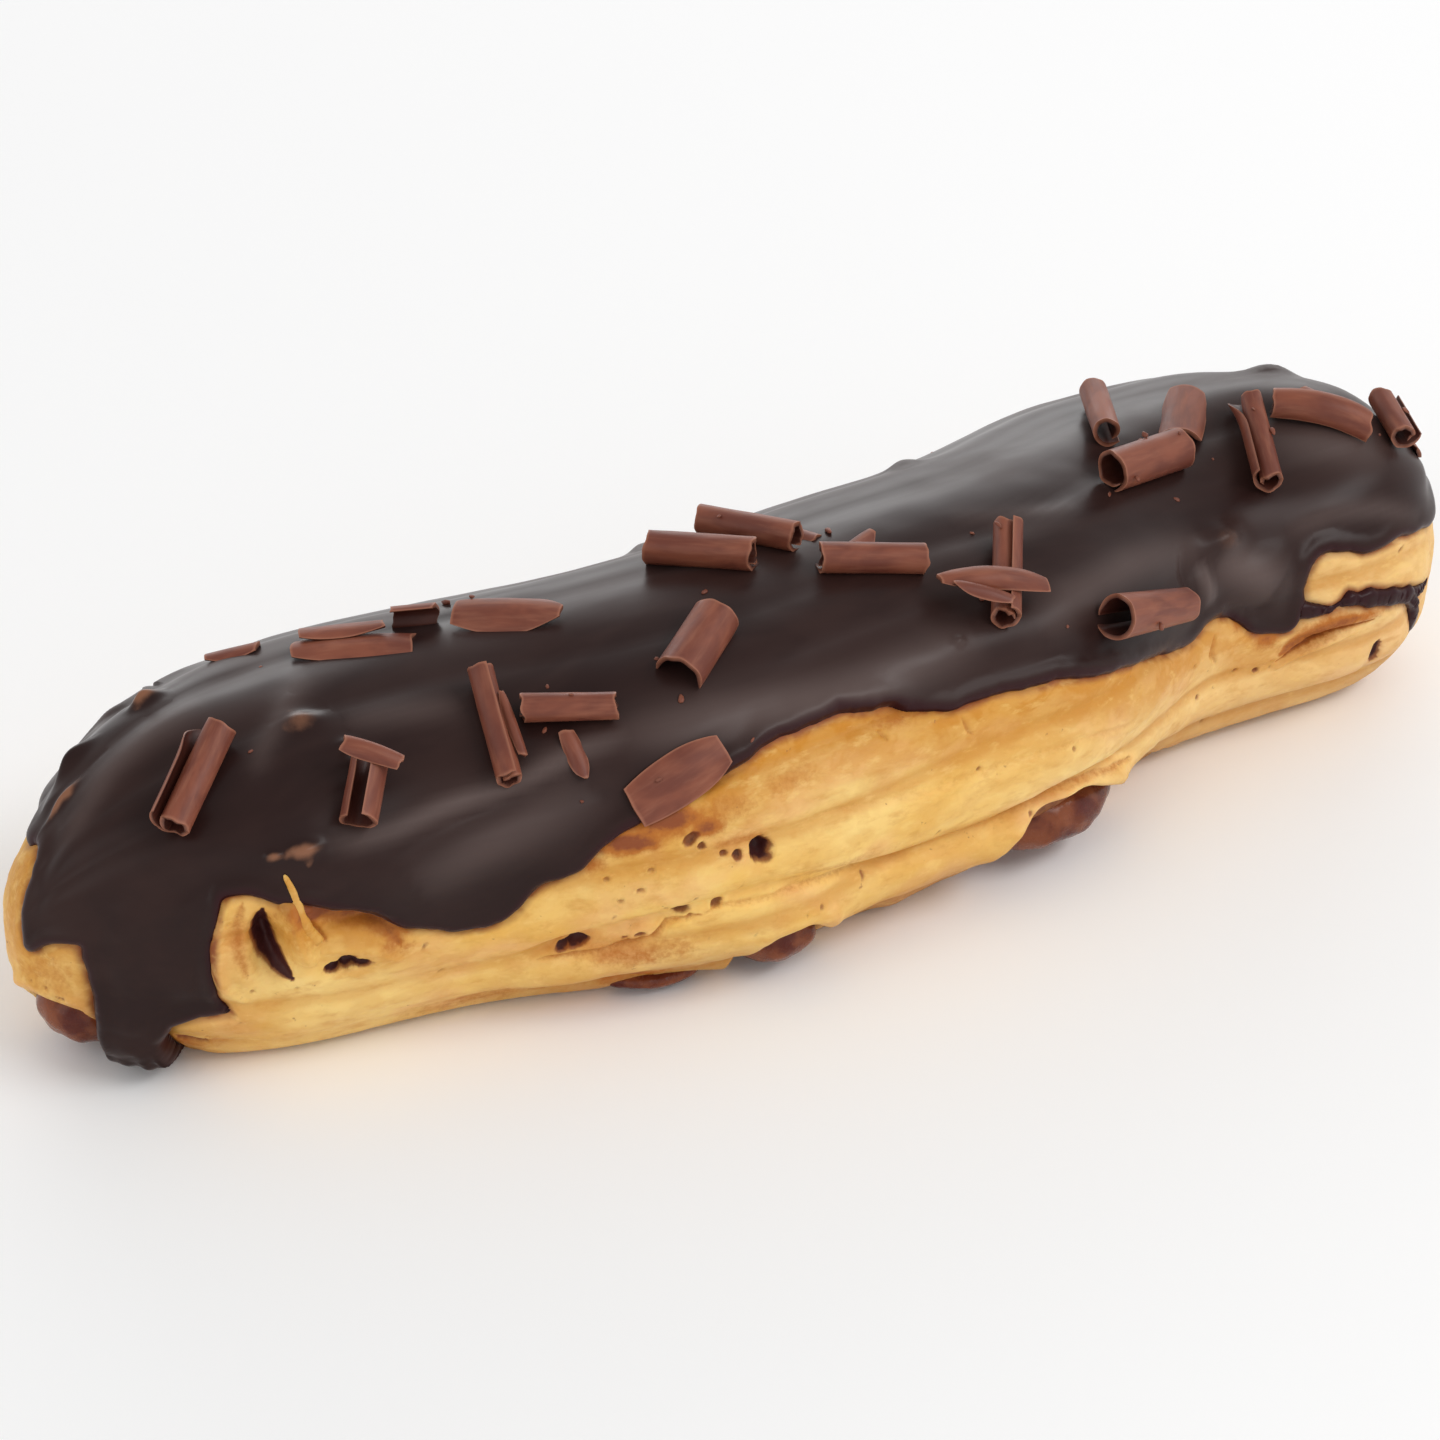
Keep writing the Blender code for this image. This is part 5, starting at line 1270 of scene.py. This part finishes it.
curls = {
    "wall": 0.42 * mm,
    "tightening": 0.58 * mm,       # inward for each turn
    "flapReach": 0.14,             # share of the strip over which its outer edge stands off
    "endPower": 2.2,
    "ragged": 0.3 * mm,
    "raggedWaves": 1.7,
    "raggedShift": 9,
    "jagged": 0.3 * mm,
    "jaggedShape": (1.5, 1.2),     # waves for each radian and over the length
    "facets": ((0.09, 1.7, 10, 0), (0.027, 0.8, 10 / 3, 0)),     # mm, as rows of waves
    # the pale rim is painted light along the thin ends and sides
    "rim": (0.8 * mm, 0.5 * mm),   # width of the pale rim at the ends and along the sides
    "apart": 7,                    # mm between the textures of two curls
    "sharpAngle": 48,
    "sink": 0.25 * mm,
    "dropFrom": 14 * mm,
    "aroundStep": 0.3 * mm / fineness,
    "alongStep": 0.36 * mm / fineness,
    "leastSteps": 6,
    # name; mm: place along; degrees: turn and heading; mm: length and radius; turns of the roll;
    # degrees: where the roll starts; mm: bow, and how far the outer edge stands off; share of its
    # width that is left at each end; and of its radius at the second end
    "rows": (
        ("curl_01", -59.3, 22.1, -46.5, 10.4, 1.9, 1.3, 42, 0, 0.5, 1, 0.66, 1),
        ("curl_02", -46.8, 42.1, 118.6, 6.4, 1.95, 0.86, 2, 0, 0, 1, 1, 1),
        ("curl_03", -38.9, -7, 20.9, 10.8, 3, 0.26, -50, 0.3, 0, 0.6, 0.8, 1),
        ("curl_04", -32.6, -11.6, 14.6, 4, 1.5, 0.48, -24, 0, 0, 1, 1, 1),
        ("curl_05", -25.9, -4.5, 21.7, 9.8, 3, 0.28, -66, 0.2, 0, 0.6, 0.3, 1),
        ("curl_06", -33.6, 32.2, -90.8, 11.2, 1.45, 1.25, -12, 0, 0.2, 1, 1, 1),
        ("curl_07", -27.3, 31.3, 9.2, 8.2, 1.6, 1.2, 165, 0, 0, 1, 1, 0.94),
        ("curl_08", -6.6, -8, 45.5, 9.9, 1.8, 1.2, 150, 0, 0, 0.95, 1, 1),
        ("curl_09", -0.2, -12.6, 69.1, 10.6, 1.6, 1.1, 170, 0, 0, 1, 1, 1),
        ("curl_10", 6.3, 12.6, 28.7, 9.6, 1.65, 1.15, 158, 0, 0, 1, 1, 1),
        ("curl_11", -14, 19.6, 139.4, 8.2, 2.4, 0.58, -104, 0, 0, 0.8, 1, 1),
        ("curl_12", -20.8, 56.4, 157.8, 9.8, 4.6, 0.175, -30, 0.4, 0, 0.55, 0.78, 1),
        ("curl_13", 17.3, 29.3, 124.9, 11, 1.65, 1.2, 4, 0, 0, 1, 1, 1),
        ("curl_14", 29.9, 58, 17, 11.6, 2.4, 0.94, 190, 0, 0, 1, 0.9, 0.75),
        ("curl_15", 41.6, -3.5, 129.4, 9.6, 1.65, 1.05, 130, 0, 0, 1, 1, 1),
        ("curl_16", 39.9, 19.4, 3.7, 9.8, 2.2, 1.1, 210, 0, 0, 1, 1, 1),
        ("curl_17", 50, 3, 128.1, 8.4, 2.6, 0.34, -62, 0, 0, 0.7, 0.9, 1),
        ("curl_18", 53.4, 22, -72, 11, 1.65, 1.3, 38, 0, 0.5, 1, 0.66, 1),
        ("curl_19", 61.4, 18, 34.5, 9.6, 1.75, 0.9, -120, 0.9, 0, 0.9, 1, 1),
        ("curl_20", 68.6, 23, 109.8, 6.4, 1.6, 1.15, 62, 0, 0.3, 1, 1, 1),
        ("curl_21", -47.5, -27, 30, 4.8, 1.7, 0.34, -60, 0, 0, 0.6, 0.8, 1),
        ("curl_22", -25, -76, 40, 8.6, 1.3, 0.95, 90, 0, 0, 1, 1, 1),
        ("curl_23", -13.5, -77, 165, 9, 1.3, 0.95, -90, 0, 0, 1, 1, 1),
        ("curl_24", 20, -76, 15, 9.4, 1.35, 1, 160, 0, 0, 1, 1, 1),
        ("curl_25", 34, -82, 76, 8, 1.3, 0.95, -40, 0, 0, 1, 1, 1),
        ("curl_26", 43.5, -75, 20, 8.4, 2, 0.45, -80, 0, 0, 0.8, 1, 1),
        ("curl_27", 56, -74, 165, 9, 1.35, 1, 120, 0, 0, 1, 1, 1),
    ),
    # small shavings that lie between them, in the same columns but without a name
    "small": (
        (-45.6, 36, 36, 5.4, 1.2, 0.45, -80, 0.4, 0, 0.6, 0.8, 0.8),
        (-39.2, -12, 20, 7.6, 2.4, 0.22, -40, 0, 0, 0.7, 0.5, 1),
        (-32.4, 33, 84, 6.6, 0.7, 0.35, -60, 0.2, 0, 0.3, 0.7, 1),
        (-28.4, 45, 78, 4.6, 1.2, 0.3, -56, 0.2, 0, 0.7, 0.2, 1),
        (7.9, 3, -19, 2.8, 1.3, 0.35, -60, 0, 0, 0.7, 0.4, 1),
        (14.6, 33, 20, 10.4, 1.5, 0.4, -70, 1.3, 0, 0.35, 0.6, 1),
        (12.2, 36, 34, 5.8, 1, 0.4, -60, 0.3, 0, 0.2, 0.6, 1),
        (63.5, 8, 59, 3.2, 1.6, 0.3, -50, 0, 0, 0.5, 0.7, 1),
        (71.4, 30, 123, 3.2, 1.3, 0.35, -60, 0, 0, 0.6, 0.5, 1),
        (4.2, -5, 70, 2.6, 1.4, 0.25, -50, 0, 0, 0.8, 0.7, 1),
        (-19, -80, 20, 4.6, 1.3, 0.35, -60, 0.1, 0, 0.6, 0.3, 1),
        (8, -78, 60, 4, 1.2, 0.4, -60, 0.1, 0, 0.4, 0.8, 1),
        (50, -79, 100, 3.6, 1.1, 0.4, -60, 0.1, 0, 0.5, 0.7, 1),
    ),
}


def strip(length, radius, turns, start, bow, flap, leftShare, rightShare, taper, which):
    # a rolled strip that lies along X, as points, faces and fields
    length, radius = length * mm, radius * mm
    arc = 2 * math.pi * turns * radius
    steps = max(int(arc / curls["aroundStep"]), curls["leastSteps"])
    rings = max(int(length / curls["alongStep"]), curls["leastSteps"])
    shares = np.linspace(-0.5, 0.5, rings + 1)[:, None]
    rolled = np.linspace(0, 1, steps + 1)[None, :]
    width = 1 - (1 - np.where(shares < 0, leftShare, rightShare)) * np.abs(2 * shares) ** curls["endPower"]
    turn = math.radians(start) + 2 * math.pi * turns * (0.5 + (rolled - 0.5) * width)

    def spots(x, y, z):
        return np.stack(np.broadcast_arrays(x, y, z + 0 * turn), axis=-1)

    facets = mm * waves(spots(shares * length, turn * radius, which * curls["apart"] * mm), curls["facets"])
    outer = (radius - curls["tightening"] * turns * rolled) * (1 - (1 - taper) * (shares + 0.5)) + facets
    outer = outer + flap * mm * ease(1 - rolled / curls["flapReach"])
    thin = np.clip(1.2 - np.abs(2 * rolled - 1) ** 6, 0.3, 1) * curls["wall"]
    ragged = curls["ragged"] * np.sin(curls["raggedWaves"] * turn + curls["raggedShift"] * shares + start)
    around, across = curls["jaggedShape"]
    torn = curls["jagged"] * waves(spots(turn * around, shares * across, which), ((1, 1 / mm, 1, 0),))
    along = shares * (length + ragged) + np.abs(2 * shares) ** 8 * torn * np.sign(shares)
    lift = bow * mm * (1 - (2 * shares) ** 2)
    layers = [spots(along, np.sin(turn) * r, np.cos(turn) * r + lift) for r in (outer, outer - thin)]
    outline = np.concatenate([layers[0], layers[1][:, ::-1]], axis=1)
    loop = outline.shape[1]
    near = np.arange(steps)
    far = loop - 1 - near
    caps = [np.stack([near, near + 1, far - 1, far], 1), rings * loop + np.stack([near, far, far - 1, near + 1], 1)]
    # pale rim: painted light along the thin ends and sides
    endRim, sideRim = (ease((np.abs(2 * value) - 1) * size / wide + 1) for value, size, wide in zip(
        (shares, rolled - 0.5), (length, arc), curls["rim"]))
    fields = {"along": along / mm, "around": turn * radius / mm, "rim": np.maximum(endRim, sideRim),
              "inner": 0 * turn, "which": 0 * turn + which * curls["apart"]}
    for name, values in fields.items():
        # the back layer, the inside of the roll, gets full painted shade
        back = 1 + 0 * turn if name == "inner" else values
        fields[name] = np.concatenate([values, back[:, ::-1]], axis=1).ravel()
    return outline.reshape(-1, 3), np.concatenate([tubeFaces(rings, loop)] + caps), fields


def surfaceFrame(x, turn):
    angle = math.radians(turn)
    point, ahead, beside = bodySurface(np.array([x, x + 0.4 * mm, x]), np.array([angle, angle, angle + 0.02]))
    along = unit(ahead - point)
    outward = unit(np.cross(beside - point, along))
    outward = outward * (np.sign(outward[2]) or 1)
    return point, along, np.cross(along, outward), outward


def seat(points, x, turn, heading, trees):
    # turns a strip to its heading and sets it down on what lies below it
    point, along, near, outward = surfaceFrame(x * mm, turn)
    angle = math.radians(heading)
    axis = along * math.cos(angle) + near * math.sin(angle)
    axes = np.stack([axis, np.cross(outward, axis), outward])
    middle = (points.max(axis=0) + points.min(axis=0)) / 2
    placed = (points - np.array([0, middle[1], points[:, 2].min()])) @ axes + point + outward * curls["dropFrom"]
    fall = 2 * curls["dropFrom"]
    for tree, sink in trees:
        for spot in placed.tolist():
            hit = tree.ray_cast(Vector(spot), Vector(-outward), fall + sink)
            if hit[0] is not None:
                fall = min(fall, hit[3] + sink)
    return placed - outward * fall


def joined(parts):
    # many small bodies, each its points, faces and fields, as one
    points, faces, fields = zip(*parts)
    starts = np.cumsum([0] + [len(p) for p in points])
    faces = np.concatenate([f + start for f, start in zip(faces, starts)])
    return np.concatenate(points), faces, {name: np.concatenate([f[name] for f in fields]) for name in fields[0]}


def buildCurls(material):
    # returns what crumbs can lie on
    trees = [(icingSkin, curls["sink"])]
    for which, (name, x, turn, heading, *rest) in enumerate(curls["rows"]):
        points, faces, fields = strip(*rest, which)
        placed = seat(points, x, turn, heading, trees)
        piece = makePiece(name.replace("_", ""), placed, faces, material, fields, curls["sharpAngle"])
        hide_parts(name)
        trees.append((BVHTree.FromPolygons(placed.tolist(), faces.tolist()), 0.0))
    parts = []
    for which, (x, turn, heading, *rest) in enumerate(curls["small"], 40):
        points, faces, fields = strip(*rest, which)
        parts.append((seat(points, x, turn, heading, trees), faces, fields))
    points, faces, fields = joined(parts)
    piece = makePiece("shavings", points, faces, material, fields, curls["sharpAngle"])
    return trees


curlTrees = buildCurls(curlMaterial)


# Crumbs of chocolate round the curls, and a sliver of choux that stands over the icing's edge

bits = {
    "crumbCount": 44,
    "crumbSeed": 12,
    "crumbSize": (0.16 * mm, 0.42 * mm),
    "crumbShape": ((0.8, 1.9), (0.6, 1.1), (0.35, 0.7)),
    "crumbSink": 0.08 * mm,
    "crumbSpread": (3.4, 8),       # mm along, degrees of turn
    "crumbLimits": (70, 85),
    "sliverWidth": 0.95 * mm,      # half of it
    "sliverDepth": 0.55,           # as a share of its width
    "sliverOff": (0.15 * mm, 0.7 * mm),     # how far it stands off at its tip, and how much less at its foot
    "sliverSteps": 33,
    "sliverWobble": ((0.2, 1.1, 1, 71),),
    # mm: the points that it runs through, place along and height
    "sliver": ((-55.4, 20.9), (-55.1, 19.8), (-54.9, 18.6), (-54.9, 17.4), (-54.6, 16), (-53.9, 14.4)),
}


def buildCrumbs(material):
    dice = random.Random(bits["crumbSeed"])
    low, high = bits["crumbSize"]
    net = bmesh.new()
    bmesh.ops.create_icosphere(net, subdivisions=2, radius=1)
    ball, triangles = meshArrays(net)
    net.free()
    parts = []
    for which in range(bits["crumbCount"]):
        row = dice.choice(curls["rows"])
        size = low + (high - low) * dice.random() ** 2
        shape = np.array([dice.uniform(*span) for span in bits["crumbShape"]])
        points = ball * (1 + waves(ball, ((0.45, 0.9 / mm, 1, 3 * which),)))[:, None] * shape * size
        x, turn = (row[1 + i] + dice.gauss(0, bits["crumbSpread"][i]) for i in range(2))
        if abs(x) > bits["crumbLimits"][0] or abs(turn) > bits["crumbLimits"][1]:
            continue
        placed = seat(points, x, turn, dice.uniform(0, 180), [(icingSkin, bits["crumbSink"])] + curlTrees[1:])
        same = np.ones(len(points))
        parts.append((placed, triangles, {
            "along": points[:, 0] / mm, "around": points[:, 1] / mm, "rim": 0.35 * same,
            "inner": 0.25 * dice.random() * same, "which": curls["apart"] * which * same}))
    points, faces, fields = joined(parts)
    piece = makePiece("crumbs", points, faces, material, fields)


def buildSlivers(material):
    corners = np.array([v.co[:] for v in chouxShell.data.vertices]) - shift
    skin = BVHTree.FromPolygons(corners.tolist(), [list(p.vertices) for p in chouxShell.data.polygons])
    turns = np.radians(np.linspace(20, 150, 261))
    knots, steps = np.array(bits["sliver"]) * mm, bits["sliverSteps"]
    standOff, drop = bits["sliverOff"]
    shares = np.linspace(0, 1, steps)
    path = []
    for share in shares:
        x, z = (np.interp(share, np.linspace(0, 1, len(knots)), column) for column in knots.T)
        side = bodySurface(np.full_like(turns, x), turns)
        spot = int(np.argmin(np.abs(side[:, 2] - z)))
        outward = Vector(surfaceFrame(x, math.degrees(turns[spot]))[3])
        start = Vector(side[spot]) + outward * 8 * mm
        hits = [tree.ray_cast(start, -outward, 20 * mm)[3] or 20 * mm for tree in (icingSkin, skin)]
        path.append(np.array(start - outward * (min(hits) - standOff + drop * share)))
    path = np.array(path)
    for _ in range(3):
        path[1:-1] = (path[:-2] + 2 * path[1:-1] + path[2:]) / 4
    ahead = unit(np.gradient(path, axis=0))
    across = unit(np.cross(ahead, outward))
    up = bits["sliverDepth"] * np.cross(across, ahead)
    angles = np.arange(10)[:, None] * math.pi / 5
    wide = bits["sliverWidth"] * (0.22 + 0.78 * shares ** 1.3) * np.sqrt(np.clip((shares + 0.01) / 0.06, 0, 1))
    wide = (wide * (1 + waves(path, bits["sliverWobble"])))[:, None, None]
    points = (path[:, None] + wide * (across[:, None] * np.cos(angles) + up[:, None] * np.sin(angles))).reshape(-1, 3)
    loop = len(angles)
    ends = [list(range(loop))[::-1], list(range(len(points) - loop, len(points)))]
    fields = {"reach": -3, "dark": 0, "toastAndShade": 0.05, "golden": 0.8, "lobeGrooveShade": 0, "foot": 0}
    fields = {name: np.full(len(points), value) for name, value in fields.items()}
    piece = makePiece("slivers", points, tubeFaces(steps - 1, loop)[:, [0, 3, 2, 1]].tolist() + ends, material, fields)


buildCrumbs(curlMaterial)
buildSlivers(chouxMaterial)


# Floor, light and camera

studio = {
    "floorSize": 6,
    "floorDrop": 0.05 * mm,
    "floorColour": (0.98, 0.98, 0.98),
    "zenith": 0.6,
    "horizon": 1,
    "strength": 0.94,
    # name; direction in degrees: azimuth as the camera's, elevation; distance, length and width in
    # metres; watts
    "lamps": (
        ("key", 38, 46, 0.8, 0.6, 0.2, 2.2),
        ("back", 150, 17, 0.9, 0.9, 0.3, 2),
        ("fill", -80, 30, 0.9, 0.5, 0.5, 0.8),
    ),
    "camera": (-31.859, 32, 480 * mm),     # azimuth and elevation in degrees, distance
    "target": (-3.875 * mm, 0, 13.258 * mm),
    "lens": 129.2,
}


def floorFinish(tree, look):
    drift = mottled(tree, objectPlace(tree), 1, 300, 0.6)
    return [blend(tree, drift, look["colour"], tuple(0.99 * c for c in look["colour"]))]


def aimed(name, data, azimuth, elevation, distance):
    # a lamp or a camera that looks at the eclair from a direction in degrees
    item = bpy.data.objects.new(name, data)
    a, e = math.radians(azimuth), math.radians(elevation)
    way = Vector((math.sin(a) * math.cos(e), -math.cos(a) * math.cos(e), math.sin(e)))
    item.location = Vector(studio["target"]) + Vector(shift) + way * distance
    item.rotation_euler = way.to_track_quat("Z", "Y").to_euler()
    bpy.context.scene.collection.objects.link(item)
    return item


def buildStudio():
    scene = bpy.context.scene
    half, z = studio["floorSize"] / 2, -studio["floorDrop"]
    mesh = bpy.data.meshes.new("floor")
    mesh.from_pydata([(-half, -half, z), (half, -half, z), (half, half, z), (-half, half, z)], [], [(0, 1, 2, 3)])
    look = {"colour": studio["floorColour"], "shader": {"Roughness": 0.8, "Specular IOR Level": 0.1}}
    mesh.materials.append(makeMaterial("paleFloor", floorFinish, look))
    floor = bpy.data.objects.new("floor", mesh)
    scene.collection.objects.link(floor)

    world = bpy.data.worlds.new("studio")
    world.use_nodes = True
    tree = world.node_tree
    background = tree.nodes["Background"]
    height = addNode(tree, "SeparateXYZ", {0: addNode(tree, "TexCoord", {}, "Generated")}, "Z")
    level = spread(tree, height, 0, 0.9, studio["horizon"], studio["zenith"])
    shade = addNode(tree, "CombineColor", {0: level, 1: level, 2: level}, 0)
    plug(tree, shade, background.inputs["Color"])
    background.inputs["Strength"].default_value = studio["strength"]
    scene.world = world

    for name, azimuth, elevation, distance, length, width, watts in studio["lamps"]:
        lamp = bpy.data.lights.new(name, "AREA")
        lamp.shape = "RECTANGLE"
        lamp.size, lamp.size_y, lamp.energy = length, width, watts
        aimed(name, lamp, azimuth, elevation, distance).visible_camera = False

    camera = bpy.data.cameras.new("camera")
    camera.lens = studio["lens"]
    camera.sensor_width = 36
    camera.clip_start = 0.01
    scene.camera = aimed("camera", camera, *studio["camera"])
    scene.view_settings.view_transform = "Standard"


buildStudio()
